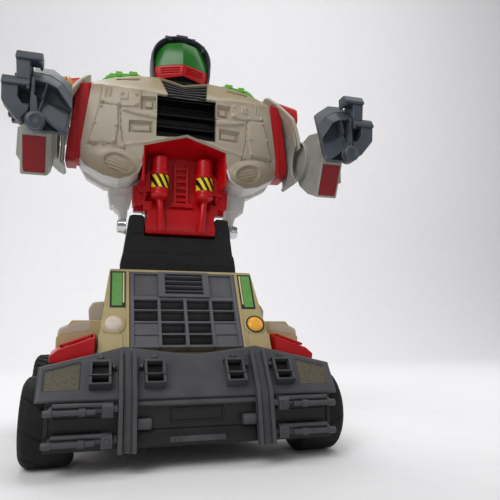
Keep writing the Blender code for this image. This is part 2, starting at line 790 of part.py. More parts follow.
def build_wheel(side, sign, name, radius, track, axle):
    middle = (sign * wheel_middle(track), axle[1], axle[2])
    pivot = add_pivot(f"{side}_{name}_wheel_axis", middle)
    add_part(f"{side}_{name}_tyre", tyre_shape(radius, middle), "rubber", pivot)
    add_part(f"{side}_{name}_rim", rim_shape(radius, middle, sign < 0), "dark_grey", pivot)
    return pivot


def gear_outline(teeth, centre, phase):
    pitch_radius = GEAR_MODULE * teeth / 2
    tip = pitch_radius + 0.8 * GEAR_MODULE
    root = pitch_radius - 1.15 * GEAR_MODULE
    thickness = math.pi * GEAR_MODULE / 2 - GEAR_BACKLASH
    points = []
    for i in range(teeth):
        middle = 2 * math.pi * (i + phase) / teeth
        for radius, width in ((root, -1.7), (tip, -0.5), (tip, 0.5), (root, 1.7)):
            turn = middle + width * thickness / 2 / radius
            points.append((centre[1] + radius * math.cos(turn), centre[2] + radius * math.sin(turn)))
    return points


def build_gearbox():
    """A comb-shaped frame: a sole on the chassis floor with two bearing walls on each side."""
    foot = FLOOR_TOP + CLEARANCE
    sole = foot + WALL
    top = foot + GEARBOX_HEIGHT
    inner = (GEARBOX_INNER_X, GEARBOX_INNER_X + WALL)
    outer_start = GEAR_INNER_X + GEAR_WIDTH + GEAR_SIDE_GAP
    outer = (outer_start, outer_start + WALL)
    half = [(inner[0], sole), (inner[0], top), (inner[1], top), (inner[1], sole),
            (outer[0], sole), (outer[0], top), (outer[1], top), (outer[1], foot)]
    rear = REAR_AXLE[1] + GEAR_PITCH_RADIUS + 2 * GEAR_MODULE
    frame = prism([mirrored(half)], "Y", rear - GEARBOX_LENGTH, rear)
    cut(frame,
        cylinder(AXLE_RADIUS + CLEARANCE, "X", REAR_AXLE, -outer[1] - WALL, outer[1] + WALL),
        cylinder(MOTOR_BOSS_RADIUS + CLEARANCE, "X", MOTOR_AXIS, -inner[1] - RUNNING_GAP,
                 inner[1] + RUNNING_GAP))
    add_part("gearbox_frame", frame, "nylon")


def build_drive(side, sign, wheel_pivot):
    """Half axle, spur gear, motor and pinion of one rear wheel."""
    near, far = collar_span(REAR_TRACK)
    end = REAR_TRACK - AXLE_END_INSET
    start = GEARBOX_INNER_X - WALL
    profile = [(0.0, end), (AXLE_RADIUS, end), (AXLE_RADIUS, far), (COLLAR_RADIUS, far),
               (COLLAR_RADIUS, near), (AXLE_RADIUS, near), (AXLE_RADIUS, start), (0.0, start)]
    axle = turned(profile, "X", REAR_AXLE, segments=16, flip=sign < 0)
    add_part(f"{side}_rear_axle", axle, "steel", wheel_pivot)

    gear_x = span(sign, GEAR_INNER_X, GEAR_INNER_X + GEAR_WIDTH)
    bore = circle((REAR_AXLE[1], REAR_AXLE[2]), AXLE_RADIUS + CLEARANCE, 16)
    gear = prism([gear_outline(GEAR_TEETH, REAR_AXLE, 0.0), bore], "X", *gear_x)
    add_part(f"{side}_spur_gear", gear, "nylon", wheel_pivot)

    face = GEARBOX_INNER_X - CLEARANCE
    hole = MOTOR_SHAFT_RADIUS + CLEARANCE
    can = [(0.0, face - MOTOR_SHAFT_DEPTH), (hole, face - MOTOR_SHAFT_DEPTH),
           (hole, face + MOTOR_BOSS_LENGTH), (MOTOR_BOSS_RADIUS, face + MOTOR_BOSS_LENGTH),
           (MOTOR_BOSS_RADIUS, face), (MOTOR_RADIUS, face), (MOTOR_RADIUS, face - MOTOR_LENGTH),
           (0.0, face - MOTOR_LENGTH)]
    add_part(f"{side}_motor", turned(can, "X", MOTOR_AXIS, segments=24, flip=sign < 0), "steel")

    motor_pivot = add_pivot(f"{side}_pinion_axis", (sign * GEAR_INNER_X, MOTOR_AXIS[1], MOTOR_AXIS[2]))
    pinion = prism([gear_outline(PINION_TEETH, MOTOR_AXIS, 0.5)], "X", *gear_x)
    shaft_start = face - MOTOR_SHAFT_DEPTH + RUNNING_GAP
    shaft_end = GEAR_INNER_X + GEAR_WIDTH / 2
    fuse(pinion, cylinder(MOTOR_SHAFT_RADIUS, "X", MOTOR_AXIS, sign * shaft_start, sign * shaft_end, 12))
    add_part(f"{side}_pinion", pinion, "nylon", motor_pivot)


# Truck body

def cab_half_width(z):
    share = (z - CAB_FOOT_Z) / (CAB_TOP_Z - CAB_FOOT_Z)
    return CAB_FOOT_HALF_WIDTH + share * (CAB_TOP_HALF_WIDTH - CAB_FOOT_HALF_WIDTH)


def cab_front_y(z):
    share = (z - CAB_FOOT_Z) / (CAB_TOP_Z - CAB_FOOT_Z)
    return CAB_FOOT_FRONT_Y + share * (CAB_TOP_FRONT_Y - CAB_FOOT_FRONT_Y)


def cab_block(foot_z, top_z, side_wall, face_wall, rear_wall):
    ends = []
    for z in (foot_z, top_z):
        ends.append((cab_half_width(z) - side_wall, cab_front_y(z) + face_wall, CAB_REAR_Y - rear_wall, z))
    return tapered_box(*ends)


def on_cab_face(obj):
    return placed(obj, CAB_FACE)


def hinge_lug(sign):
    """One of the two ears on the cab roof that hold the waist hinge pin."""
    x = span(sign, WAIST_KNUCKLE_HALF + CLEARANCE, HINGE_LUG_OUTER_X)
    foot = CAB_TOP_Z - WALL
    ear = arc((WAIST_HINGE_Y, WAIST_HINGE_Z), WAIST_KNUCKLE_RADIUS, -40, 180, 12)
    ear += [(WAIST_HINGE_Y - WAIST_KNUCKLE_RADIUS, foot), (CAB_REAR_Y - RUNNING_GAP, foot)]
    return prism([ear], "X", *x)


def side_box(sign):
    """The box on the deck beside the cab."""
    foot, top = DECK_TOP - WALL / 3, DECK_TOP + SIDE_BOX_HEIGHT
    outer = SIDE_BOX_INNER_X + SIDE_BOX_WIDTH
    outline = [(SIDE_BOX_INNER_X, foot), (outer, foot), (outer, top - 2 * SIDE_BOX_EDGE),
               (outer - SIDE_BOX_EDGE, top), (SIDE_BOX_INNER_X, top)]
    return prism([[(sign * x, z) for x, z in outline]], "Y", SIDE_BOX_FRONT_Y, SIDE_BOX_FRONT_Y + SIDE_BOX_LENGTH)


def bed_rib(sign, number):
    """A flat rib along the deck behind the cab; the outermost starts behind the side box."""
    inner = BED_RIB_X + number * BED_RIB_PITCH
    box_end = SIDE_BOX_FRONT_Y + SIDE_BOX_LENGTH + WALL
    front = box_end if inner + BED_RIB_WIDTH > SIDE_BOX_INNER_X else BED_RIB_FRONT_Y
    return box(span(sign, inner, inner + BED_RIB_WIDTH), (front, DECK_REAR_Y - BED_RIB_TAIL),
               (DECK_TOP - WALL / 2, DECK_TOP + BED_RIB_HEIGHT))


def build_truck_body():
    """Deck with overhanging sides, skirt, and hollow cab with the hinge ears on its roof."""
    wing = [(DECK_SHOULDER_X, DECK_TOP), (DECK_HALF_WIDTH, DECK_SHOULDER_Z), (DECK_HALF_WIDTH, ARCH_Z)]
    body = prism([mirrored(wing)], "Y", DECK_FRONT_Y, DECK_REAR_Y)
    skirt_y = (SKIRT_FRONT_Y, DECK_REAR_Y - RUNNING_GAP)
    fuse(body,
         box(both(CHASSIS_HALF_WIDTH), skirt_y, (BODY_FOOT, SKIRT_TOP)),
         cab_block(CAB_FOOT_Z, CAB_TOP_Z, 0.0, 0.0, 0.0),
         hinge_lug(1), hinge_lug(-1), side_box(1), side_box(-1))
    for number in range(BED_RIBS):
        fuse(body, bed_rib(1, number), bed_rib(-1, number))
    core = CHASSIS_HALF_WIDTH - WALL
    inside_y = (DECK_FRONT_Y + WALL, DECK_REAR_Y - WALL)
    roof = DECK_TOP - WALL
    cut(body,
        box(both(core), (skirt_y[0] + WALL, skirt_y[1] - WALL), (BODY_FOOT - WALL, SKIRT_TOP - WALL)),
        box(both(core - RUNNING_GAP), inside_y, (BODY_FOOT, roof)),
        cab_block(CAB_FOOT_Z - 2 * WALL, CAB_TOP_Z - WALL, CAB_SIDE_WALL, CAB_FACE_WALL, WALL))
    for sign in (1, -1):
        hollow = [(CHASSIS_HALF_WIDTH, ARCH_Z - WALL), (DECK_HALF_WIDTH - WALL, ARCH_Z - WALL),
                  (DECK_HALF_WIDTH - WALL, DECK_SHOULDER_Z - WALL / 2),
                  (DECK_SHOULDER_X - WALL / 2, roof - RUNNING_GAP), (CHASSIS_HALF_WIDTH, roof - RUNNING_GAP)]
        cut(body, prism([[(sign * x, z) for x, z in hollow]], "Y",
                        inside_y[0] + RUNNING_GAP, inside_y[1] - RUNNING_GAP))
    ledge = GRILLE_LEDGE
    pocket = GRILLE_THICKNESS + CLEARANCE
    cut(body,
        on_cab_face(box(both(GRILLE_HALF_WIDTH + CLEARANCE),
                        (GRILLE_FOOT - CLEARANCE, GRILLE_TOP + CLEARANCE), (-pocket, WALL))),
        on_cab_face(box(both(GRILLE_HALF_WIDTH - ledge), (GRILLE_FOOT + ledge, GRILLE_TOP - ledge),
                        (-2 * CAB_FACE_WALL, WALL))),
        cylinder(WAIST_PIN_RADIUS + CLEARANCE, "X", (0.0, WAIST_HINGE_Y, WAIST_HINGE_Z),
                 -HINGE_LUG_OUTER_X - WALL, HINGE_LUG_OUTER_X + WALL, 16))
    add_part("truck_body", body, "beige")


def build_fender_cover(side, sign):
    rear = DECK_FRONT_Y - CLEARANCE
    foot = ARCH_Z - WHEEL_ARCH_GAP
    outline = [(FENDER_FRONT_Y, foot), (rear, foot), (rear, FENDER_TOP),
               (FENDER_FRONT_Y + 3 * FENDER_NOSE, FENDER_TOP - WALL),
               (FENDER_FRONT_Y, foot + FENDER_NOSE)]
    hollow = [(FENDER_FRONT_Y + WALL, foot - WALL), (rear - WALL, foot - WALL),
              (rear - WALL, FENDER_TOP - WALL), (FENDER_FRONT_Y + 3 * FENDER_NOSE, FENDER_TOP - 2 * WALL),
              (FENDER_FRONT_Y + WALL, foot + FENDER_NOSE - WALL / 2)]
    inner = max(cab_half_width(CAB_FOOT_Z), CAB_FOOT_HALF_WIDTH) + RUNNING_GAP
    cover = prism([outline], "X", *span(sign, inner, FENDER_OUTER_X))
    cut(cover, prism([hollow], "X", *span(sign, inner + WALL, FENDER_OUTER_X - WALL)))
    add_part(f"{side}_fender_cover", cover, "red")


def grille_holes():
    """Open cells over all columns in the upper rows, and over the middle ones in the lower rows."""
    usable = GRILLE_HALF_WIDTH - GRILLE_LEDGE
    pitch = 2 * usable / GRILLE_COLUMNS
    for row in range(GRILLE_ROWS):
        low = GRILLE_FOOT + GRILLE_LEDGE / 2 + row * GRILLE_CELL_PITCH
        for column in range(GRILLE_COLUMNS):
            if row < GRILLE_ROWS / 2 and column in (0, GRILLE_COLUMNS - 1):
                continue
            left = -usable + column * pitch
            yield rectangle((left + GRILLE_BAR / 2, left + pitch - GRILLE_BAR / 2),
                            (low, low + GRILLE_CELL_HEIGHT))
    first = GRILLE_TOP - GRILLE_LEDGE / 2 - LOUVRE_COUNT * LOUVRE_PITCH
    for slot in range(LOUVRE_COUNT):
        low = first + slot * LOUVRE_PITCH
        yield rectangle(both(LOUVRE_HALF_WIDTH), (low, low + LOUVRE_SLOT))


def build_grille():
    outline = rectangle(both(GRILLE_HALF_WIDTH), (GRILLE_FOOT, GRILLE_TOP))
    panel = prism([outline, *grille_holes()], "Z", -GRILLE_THICKNESS, 0.0)
    add_part("grille_panel", on_cab_face(panel), "dark_grey")


def build_headlight(side, sign, finish):
    centre = (sign * HEADLIGHT_X, HEADLIGHT_RISE, 0.0)
    lens = cylinder(HEADLIGHT_RADIUS, "Z", centre, CLEARANCE, CLEARANCE + HEADLIGHT_DEPTH)
    add_part(f"{side}_headlight", on_cab_face(lens), finish, smooth=True)


# Bumper

def on_bumper(obj):
    return placed(obj, BUMPER_FACE)


def bumper_point(rise, out):
    point = BUMPER_FACE @ Vector((0.0, rise, out))
    return point.y, point.z


def lamp(x):
    body = box((x - LAMP_WIDTH / 2, x + LAMP_WIDTH / 2), (LAMP_FOOT, LAMP_FOOT + LAMP_RISE),
               (-BUMPER_THICKNESS / 2, LAMP_DEPTH))
    window = box((x - LAMP_WIDTH / 2 + LAMP_FRAME, x + LAMP_WIDTH / 2 - LAMP_FRAME),
                 (LAMP_FOOT + LAMP_FRAME, LAMP_FOOT + LAMP_RISE - LAMP_FRAME),
                 (LAMP_DEPTH - LAMP_POCKET, LAMP_DEPTH + WALL))
    return on_bumper(body), on_bumper(window)


def build_bumper_plate():
    half = [(0.0, BUMPER_DIP_RISE), (BUMPER_PEAK_X, BUMPER_PEAK_RISE),
            (BUMPER_HALF_WIDTH, BUMPER_SIDE_RISE), (BUMPER_HALF_WIDTH, 0.0)]
    plate = prism([half + [(-x, s) for x, s in reversed(half[1:])]], "Z", -BUMPER_THICKNESS, 0.0)
    on_bumper(plate)
    for x in (LAMP_OUTER_X, LAMP_INNER_X, -LAMP_INNER_X, -LAMP_OUTER_X):
        body, window = lamp(x)
        fuse(plate, body)
        cut(plate, window)
    for sign in (1, -1):
        pocket = box(span(sign, CORNER_INNER_X, BUMPER_HALF_WIDTH - CORNER_MARGIN),
                     (2 * CORNER_MARGIN, BUMPER_SIDE_RISE - CORNER_MARGIN / 2), (-CORNER_POCKET, WALL))
        cut(plate, on_bumper(pocket))
        front = bumper_point(CORNER_MARGIN, -BUMPER_THICKNESS / 2)
        x = span(sign, BRACKET_X + BRACKET_WIDTH, BRACKET_X + 2 * BRACKET_WIDTH)
        fuse(plate, box(x, (front[0], CHASSIS_FRONT_Y - CLEARANCE), (front[1], front[1] + WALL)))
    add_part("bumper_plate", plate, "dark_grey")


APRON_BACK_Y = FRONT_AXLE_Y - FRONT_TYRE_RADIUS - APRON_TYRE_GAP
APRON_FRONT_Y = APRON_BACK_Y - APRON_THICKNESS
APRON_TOP_Z = BUMPER_FOOT_Z - BUMPER_THICKNESS * math.cos(BUMPER_SLOPE) - CLEARANCE
UPPER_LEDGE_Z = APRON_TOP_Z - LEDGE_HEIGHT


def build_apron():
    """The panel under the bumper plate, with two ledges that the posts interrupt."""
    apron = box(both(APRON_HALF_WIDTH), (APRON_FRONT_Y, APRON_BACK_Y), (APRON_FOOT_Z, APRON_TOP_Z))
    for z in (LOWER_LEDGE_Z, UPPER_LEDGE_Z):
        fuse(apron, box(both(APRON_HALF_WIDTH), (APRON_FRONT_Y - LEDGE_DEPTH, APRON_BACK_Y - WALL / 2),
                        (z, z + LEDGE_HEIGHT)))
    for sign in (1, -1):
        slot = span(sign, POST_INNER_X - CLEARANCE, POST_INNER_X + POST_WIDTH + CLEARANCE)
        cut(apron, box(slot, (APRON_FRONT_Y - 2 * LEDGE_DEPTH, APRON_FRONT_Y),
                       (APRON_FOOT_Z - WALL, APRON_TOP_Z + WALL)))
        x = span(sign, BRACKET_X, BRACKET_X + BRACKET_WIDTH)
        fuse(apron, box(x, (APRON_BACK_Y - WALL / 2, CHASSIS_FRONT_Y - CLEARANCE),
                        (LOWER_LEDGE_Z + LEDGE_HEIGHT, LOWER_LEDGE_Z + LEDGE_HEIGHT + BRACKET_WIDTH)))
    add_part("bumper_apron", apron, "dark_grey")


def build_post(side, sign):
    """A grooved channel that runs down the bumper plate and past the apron."""
    back_foot = (APRON_FRONT_Y - POST_LEAN, POST_FOOT_Z)
    back_bend = (APRON_FRONT_Y - CLEARANCE, APRON_TOP_Z)
    back_knee = bumper_point(-RUNNING_GAP, CLEARANCE)
    back_top = bumper_point(POST_TOP_RISE, CLEARANCE)
    front_top = bumper_point(POST_TOP_RISE, CLEARANCE + POST_DEPTH)
    front_knee = bumper_point(0.0, CLEARANCE + POST_DEPTH)
    front_foot = (back_foot[0] - POST_DEPTH, POST_FOOT_Z)
    x = span(sign, POST_INNER_X, POST_INNER_X + POST_WIDTH)
    post = prism([[back_foot, back_bend, back_knee, back_top, front_top, front_knee, front_foot]], "X", *x)
    middle = POST_INNER_X + POST_WIDTH / 2
    groove_x = span(sign, middle - POST_GROOVE_WIDTH / 2, middle + POST_GROOVE_WIDTH / 2)
    near = POST_DEPTH + CLEARANCE - POST_GROOVE_DEPTH
    groove = [bumper_point(POST_TOP_RISE + WALL, near), bumper_point(0.0, near),
              (front_foot[0] + POST_GROOVE_DEPTH, POST_FOOT_Z - WALL),
              (front_foot[0] - WALL, POST_FOOT_Z - WALL), bumper_point(0.0, 2 * POST_DEPTH),
              bumper_point(POST_TOP_RISE + WALL, 2 * POST_DEPTH)]
    cut(post, prism([groove], "X", *groove_x))
    add_part(f"{side}_bumper_post", post, "dark_grey")


# Waist

def build_waist(pivot):
    axis = (0.0, WAIST_HINGE_Y, WAIST_HINGE_Z)
    foot = WAIST_HINGE_Z + 2 * RUNNING_GAP
    half = [(WAIST_NOTCH_HALF_WIDTH, WAIST_NOTCH_Z), (WAIST_NOTCH_HALF_WIDTH, WAIST_TOP_Z),
            (WAIST_TOP_HALF_WIDTH, WAIST_TOP_Z), (WAIST_STEP_HALF_WIDTH, WAIST_STEP_Z),
            (WAIST_FOOT_HALF_WIDTH, WAIST_STEP_Z), (WAIST_FOOT_HALF_WIDTH, foot)]
    rear = WAIST_FRONT_Y + WAIST_DEPTH
    plate = prism([mirrored(half)], "Y", WAIST_FRONT_Y, rear)
    fuse(plate, cylinder(WAIST_KNUCKLE_RADIUS, "X", axis, *both(WAIST_KNUCKLE_HALF)))
    room = WAIST_KNUCKLE_RADIUS + RUNNING_GAP
    for sign in (1, -1):
        x = span(sign, WAIST_KNUCKLE_HALF, HINGE_LUG_OUTER_X + CLEARANCE)
        cut(plate, cylinder(room, "X", axis, *x))
    pivot_axis = (0.0, PIVOT_Y, PIVOT_Z)
    reach = WAIST_FOOT_HALF_WIDTH
    cut(plate,
        cylinder(WAIST_PIN_RADIUS + CLEARANCE, "X", axis, -reach, reach, 16),
        cylinder(PIVOT_PIN_RADIUS + CLEARANCE, "X", pivot_axis, -reach, reach, 16))
    add_part("waist_plate", plate, "black", pivot)
    pin = cylinder(WAIST_PIN_RADIUS, "X", axis, -HINGE_LUG_OUTER_X, HINGE_LUG_OUTER_X, 16)
    add_part("waist_hinge_pin", pin, "steel", smooth=True)


def waist_half_width(z):
    share = (z - WAIST_STEP_Z) / (WAIST_TOP_Z - WAIST_STEP_Z)
    return WAIST_STEP_HALF_WIDTH + share * (WAIST_TOP_HALF_WIDTH - WAIST_STEP_HALF_WIDTH)


def build_pivot_cap(side, sign, pivot):
    """A bright cap with the pin on which the torso tilts."""
    start = waist_half_width(PIVOT_Z - PIVOT_CAP_RADIUS) + CLEARANCE
    end = start + PIVOT_CAP_LENGTH
    profile = [(0.0, end), (PIVOT_CAP_TIP_RADIUS, end), (PIVOT_CAP_RADIUS, start),
               (PIVOT_PIN_RADIUS, start), (PIVOT_PIN_RADIUS, PIVOT_PIN_INNER_X), (0.0, PIVOT_PIN_INNER_X)]
    cap = turned(profile, "X", (0.0, PIVOT_Y, PIVOT_Z), segments=24, flip=sign < 0)
    add_part(f"{side}_pivot_cap", cap, "chrome", pivot)


# Torso

def build_abdomen(pivot):
    rear = WAIST_FRONT_Y + WAIST_DEPTH
    block = box(both(WAIST_NOTCH_HALF_WIDTH - RUNNING_GAP), (ABDOMEN_FRONT_Y, rear),
                (ABDOMEN_FOOT_Z, FLANGE_FOOT_Z + WALL))
    panel_rear = PANEL_FRONT_Y + PANEL_THICKNESS
    ceiling_top = CEILING_TOP_Z
    fuse(block,
         box(both(FLANGE_HALF_WIDTH), (FLANGE_FRONT_Y, rear), (FLANGE_FOOT_Z, FLANGE_TOP_Z)),
         box(both(PANEL_HALF_WIDTH), (PANEL_FRONT_Y, panel_rear), (FLANGE_TOP_Z - WALL, ceiling_top)),
         box(both(PANEL_HALF_WIDTH), (CEILING_FRONT_Y, PANEL_FRONT_Y + WALL / 2),
             (ceiling_top - PANEL_THICKNESS, ceiling_top)),
         box(both(LADDER_HALF_WIDTH), (FLANGE_FRONT_Y - LADDER_PROUD, PANEL_FRONT_Y + WALL / 2),
             (LADDER_FOOT_Z, LADDER_TOP_Z)))
    reach = WAIST_NOTCH_HALF_WIDTH
    cut(block, cylinder(PIVOT_PIN_RADIUS + CLEARANCE, "X", (0.0, PIVOT_Y, PIVOT_Z), -reach, reach, 16))
    add_part("abdomen_panel", block, "red", pivot)


def build_tank(side, sign, pivot):
    neck = TANK_FOOT_Z + TANK_RADIUS
    dome = [(TANK_RADIUS * math.cos(a), TANK_TOP_Z - TANK_RADIUS / 3 * (1 - math.sin(a)))
            for a in (math.pi / 2, math.pi / 3, math.pi / 6, 0.0)]
    dome[0] = (0.0, TANK_TOP_Z)
    profile = dome + [(TANK_RADIUS, neck), (TANK_STEM_RADIUS, TANK_FOOT_Z + TANK_STEM_RADIUS),
                      (TANK_STEM_RADIUS, TANK_FOOT_Z), (0.0, TANK_FOOT_Z)]
    y = FLANGE_FRONT_Y - CLEARANCE - TANK_RADIUS
    add_part(f"{side}_tank", turned(profile, "Z", (sign * TANK_X, y, 0.0), segments=24), "red", pivot)


CHEST_MIDDLE_Z = (CHEST_TOP_Z + CHEST_FOOT_Z) / 2
CHEST_HALF_HEIGHT = (CHEST_TOP_Z - CHEST_FOOT_Z) / 2

# How the chest draws in toward its front and back: share of the depth, of the width, of the
# height, and the lift of the outline's middle
CHEST_FRONT_STEPS = ((0.0, 1.0, 1.0, 0.0), (0.44, 1.0, 1.0, 0.0), (0.63, 0.89, 0.86, 0.0),
                     (0.82, 0.74, 0.68, 0.04), (1.0, 0.50, 0.42, 0.115))
CHEST_BACK_STEPS = ((0.0, 1.0, 1.0, 0.0), (0.3, 1.0, 1.0, 0.0), (0.45, 0.94, 0.985, 0.0), (0.65, 0.82, 0.89, 0.0),
                    (0.83, 0.68, 0.75, 0.0), (1.0, 0.43, 0.50, 0.0))
# How the lobe shrinks toward its front: share of its depth, share of its size
LOBE_STEPS = ((0.0, 1.0), (0.4, 0.98), (0.7, 0.86), (0.88, 0.66), (1.0, 0.4))
LOBE_SIDES = 20


def chest_section(y, width, height, lift, inset):
    """The chest's outline at one depth, scaled about its middle and drawn in by a wall."""
    half = [(CHEST_TOP_HALF_WIDTH, CHEST_TOP_Z), (CHEST_YOKE_X, CHEST_TOP_Z - CHEST_YOKE_DROP),
            (CHEST_SHOULDER_X, CHEST_TOP_Z - CHEST_SHOULDER_DROP), (CHEST_HALF_WIDTH, CHEST_SIDE_TOP_Z),
            (CHEST_HALF_WIDTH, CHEST_SIDE_FOOT_Z), (CHEST_CHIN_X, CHEST_CHIN_Z),
            (CHEST_FOOT_HALF_WIDTH, CHEST_FOOT_Z)]
    scale_x = width * (1.0 - inset / CHEST_HALF_WIDTH)
    scale_z = height * (1.0 - inset / CHEST_HALF_HEIGHT)
    middle = CHEST_MIDDLE_Z + lift * CHEST_HALF_HEIGHT
    return [(x * scale_x, y, middle + (z - CHEST_MIDDLE_Z) * scale_z) for x, z in mirrored(half)]


def chest_cup(start, end, steps, inset):
    """A block between two depths; a positive inset gives the hollow that leaves a wall round it."""
    inward = math.copysign(inset, end - start)
    sections = []
    for share, width, height, lift in steps:
        y = start + share * (end - start)
        if share == 0.0:
            y -= inward
        if share == 1.0:
            y -= inward
        sections.append(chest_section(y, width, height, lift, inset))
    return loft(sections)


def lobe(sign):
    """The bulge low on one side of the chest: leaning ellipses that shrink toward the front."""
    lean = math.radians(LOBE_LEAN)
    sections = []
    for share, size in LOBE_STEPS:
        y = LOBE_ROOT_Y + share * (LOBE_FRONT_Y - LOBE_ROOT_Y)
        ring = [(u * LOBE_HALF_WIDTH, v * LOBE_HALF_HEIGHT) for u, v in circle((0.0, 0.0), size, LOBE_SIDES)]
        sections.append([(sign * (LOBE_X + u * math.cos(lean) - v * math.sin(lean)), y,
                          LOBE_Z + u * math.sin(lean) + v * math.cos(lean)) for u, v in ring])
    return loft(sections)


def build_chest_front(pivot):
    shell = chest_cup(CHEST_SPLIT_Y, CHEST_FRONT_Y, CHEST_FRONT_STEPS, 0.0)
    cut(shell, chest_cup(CHEST_SPLIT_Y, CHEST_FRONT_Y, CHEST_FRONT_STEPS, WALL))
    fuse(shell, lobe(1), lobe(-1))
    ahead = CHEST_FRONT_Y - WALL
    cut(shell,
        box(both(PANEL_HALF_WIDTH + CLEARANCE), (ahead, CHEST_SPLIT_Y + WALL),
            (CHEST_FOOT_Z - WALL, CEILING_TOP_Z + CLEARANCE)),
        box(both(VENT_HALF_WIDTH), (ahead, CHEST_FRONT_Y + VENT_DEPTH), (VENT_FOOT_Z, VENT_TOP_Z)),
        cylinder(SHOULDER_SHAFT_RADIUS + CLEARANCE, "X", (0.0, SHOULDER_Y, SHOULDER_Z),
                 -CHEST_HALF_WIDTH - WALL, CHEST_HALF_WIDTH + WALL))
    add_part("chest_front", shell, "beige", pivot)


def back_pack(inset):
    """The raised pack on the back, with chamfered edges; an inset gives its hollow."""
    half = PACK_HALF_WIDTH - inset
    foot, top = PACK_FOOT_Z + inset, PACK_FOOT_Z + PACK_HEIGHT - inset
    rear = PACK_REAR_Y - inset
    sections = []
    for y, edge in ((PACK_ROOT_Y, 0.0), (rear - PACK_EDGE, 0.0), (rear, PACK_EDGE)):
        outline = rectangle(both(half - edge), (foot + edge, top - edge))
        sections.append([(x, y, z) for x, z in outline])
    return loft(sections)


def build_chest_back(pivot):
    start = CHEST_SPLIT_Y + CLEARANCE
    shell = chest_cup(start, CHEST_BACK_Y, CHEST_BACK_STEPS, 0.0)
    fuse(shell, back_pack(0.0))
    cut(shell, chest_cup(start, CHEST_BACK_Y, CHEST_BACK_STEPS, WALL), back_pack(WALL))
    for sign in (1, -1):
        depth = (STRUT_FRONT_Y, STRUT_FRONT_Y + STRUT_DEPTH)
        fuse(shell,
             box(span(sign, STRUT_INNER_X, STRUT_INNER_X + STRUT_WIDTH), depth,
                 (STRUT_STEP_Z, CHEST_FOOT_Z + WALL / 2)),
             box(span(sign, STRUT_INNER_X, STRUT_INNER_X + STRUT_FOOT_WIDTH), depth,
                 (STRUT_FOOT_Z, STRUT_STEP_Z + WALL)))
    cut(shell, cylinder(NECK_RADIUS + CLEARANCE, "Z", (0.0, HEAD_Y, 0.0),
                        CHEST_TOP_Z - 4 * WALL, CHEST_TOP_Z + WALL))
    add_part("chest_back", shell, "beige", pivot)


def build_vent(pivot):
    x = both(VENT_HALF_WIDTH - CLEARANCE)
    z = (VENT_FOOT_Z + CLEARANCE, VENT_TOP_Z - CLEARANCE)
    front = CHEST_FRONT_Y + CLEARANCE
    panel = box(x, (front, CHEST_FRONT_Y + VENT_DEPTH - CLEARANCE), z)
    pitch = (z[1] - z[0]) / VENT_RIBS
    for i in range(VENT_RIBS):
        low = z[0] + i * pitch + WALL / 2
        cut(panel, box((x[0] + WALL / 2, x[1] - WALL / 2), (front - WALL, front + VENT_GROOVE),
                       (low, low + pitch - WALL)))
    add_part("chest_vent", panel, "black", pivot)


def chest_top_z(x):
    share = (x - CHEST_TOP_HALF_WIDTH) / (CHEST_YOKE_X - CHEST_TOP_HALF_WIDTH)
    return CHEST_TOP_Z - share * CHEST_YOKE_DROP


def build_pod(side, sign, pivot):
    """A stepped block lying on the slope of the chest's top."""
    outer = POD_INNER_X + POD_WIDTH
    step = POD_WIDTH / 4
    top = CHEST_TOP_Z + POD_HEIGHT / 2
    outline = [(POD_INNER_X, chest_top_z(POD_INNER_X) + CLEARANCE), (outer, chest_top_z(outer) + CLEARANCE),
               (outer, top - POD_HEIGHT / 2), (outer - step, top - POD_HEIGHT / 2), (outer - step, top),
               (POD_INNER_X + step, top), (POD_INNER_X + step, top - POD_HEIGHT / 3),
               (POD_INNER_X, top - POD_HEIGHT / 3)]
    pod = prism([[(sign * x, z) for x, z in outline]], "Y", POD_FRONT_Y, POD_FRONT_Y + POD_LENGTH)
    add_part(f"{side}_shoulder_pod", pod, "lime", pivot)


# Head

# The helmet's rings: share of its height, share of its width
HELMET_RINGS = ((0.0, 0.86), (0.2, 0.97), (0.42, 1.0), (0.62, 0.96), (0.8, 0.82), (0.92, 0.6), (1.0, 0.28))
HELMET_SIDES = 28


def helmet_ring(height, width):
    z = HEAD_FOOT_Z + height * (HEAD_TOP_Z - HEAD_FOOT_Z)
    ring = circle((0.0, 0.0), width, HELMET_SIDES)
    return [(u * HEAD_HALF_WIDTH, HEAD_Y + v * HEAD_HALF_DEPTH, z) for u, v in ring]


def face_line(inset):
    """The front of the face in plan, from one side to the other, drawn back by an inset."""
    half = [(FACE_HALF_WIDTH - inset, FACE_SIDE_Y), (FACE_CORNER_X - inset, FACE_CORNER_Y + inset)]
    return half + [(0.0, FACE_RIDGE_Y + inset)] + [(-x, y) for x, y in reversed(half)]


def build_head(pivot):
    helmet = loft([helmet_ring(height, width) for height, width in HELMET_RINGS])
    back = FACE_THICKNESS + CLEARANCE
    reach = 2 * HEAD_HALF_WIDTH
    room = [(x, y + CLEARANCE) for x, y in face_line(back)]
    room += [(-reach, FACE_SIDE_Y + CLEARANCE), (-reach, -reach), (reach, -reach),
             (reach, FACE_SIDE_Y + CLEARANCE)]
    cut(helmet, prism([room], "Z", HEAD_FOOT_Z - WALL, VISOR_TOP_Z + CLEARANCE))
    fuse(helmet, cylinder(NECK_RADIUS, "Z", (0.0, HEAD_Y, 0.0), CHEST_TOP_Z - NECK_DEPTH, HEAD_FOOT_Z + WALL))
    add_part("helmet", helmet, "dark_grey", pivot, smooth=True)
    crescent = face_line(0.0) + face_line(FACE_THICKNESS)[::-1]
    add_part("visor", prism([crescent], "Z", VISOR_FOOT_Z, VISOR_TOP_Z), "green", pivot)
    guard = prism([crescent], "Z", HEAD_FOOT_Z, VISOR_FOOT_Z - CLEARANCE)
    add_part("mouth_guard", guard, "red", pivot)


# Arms

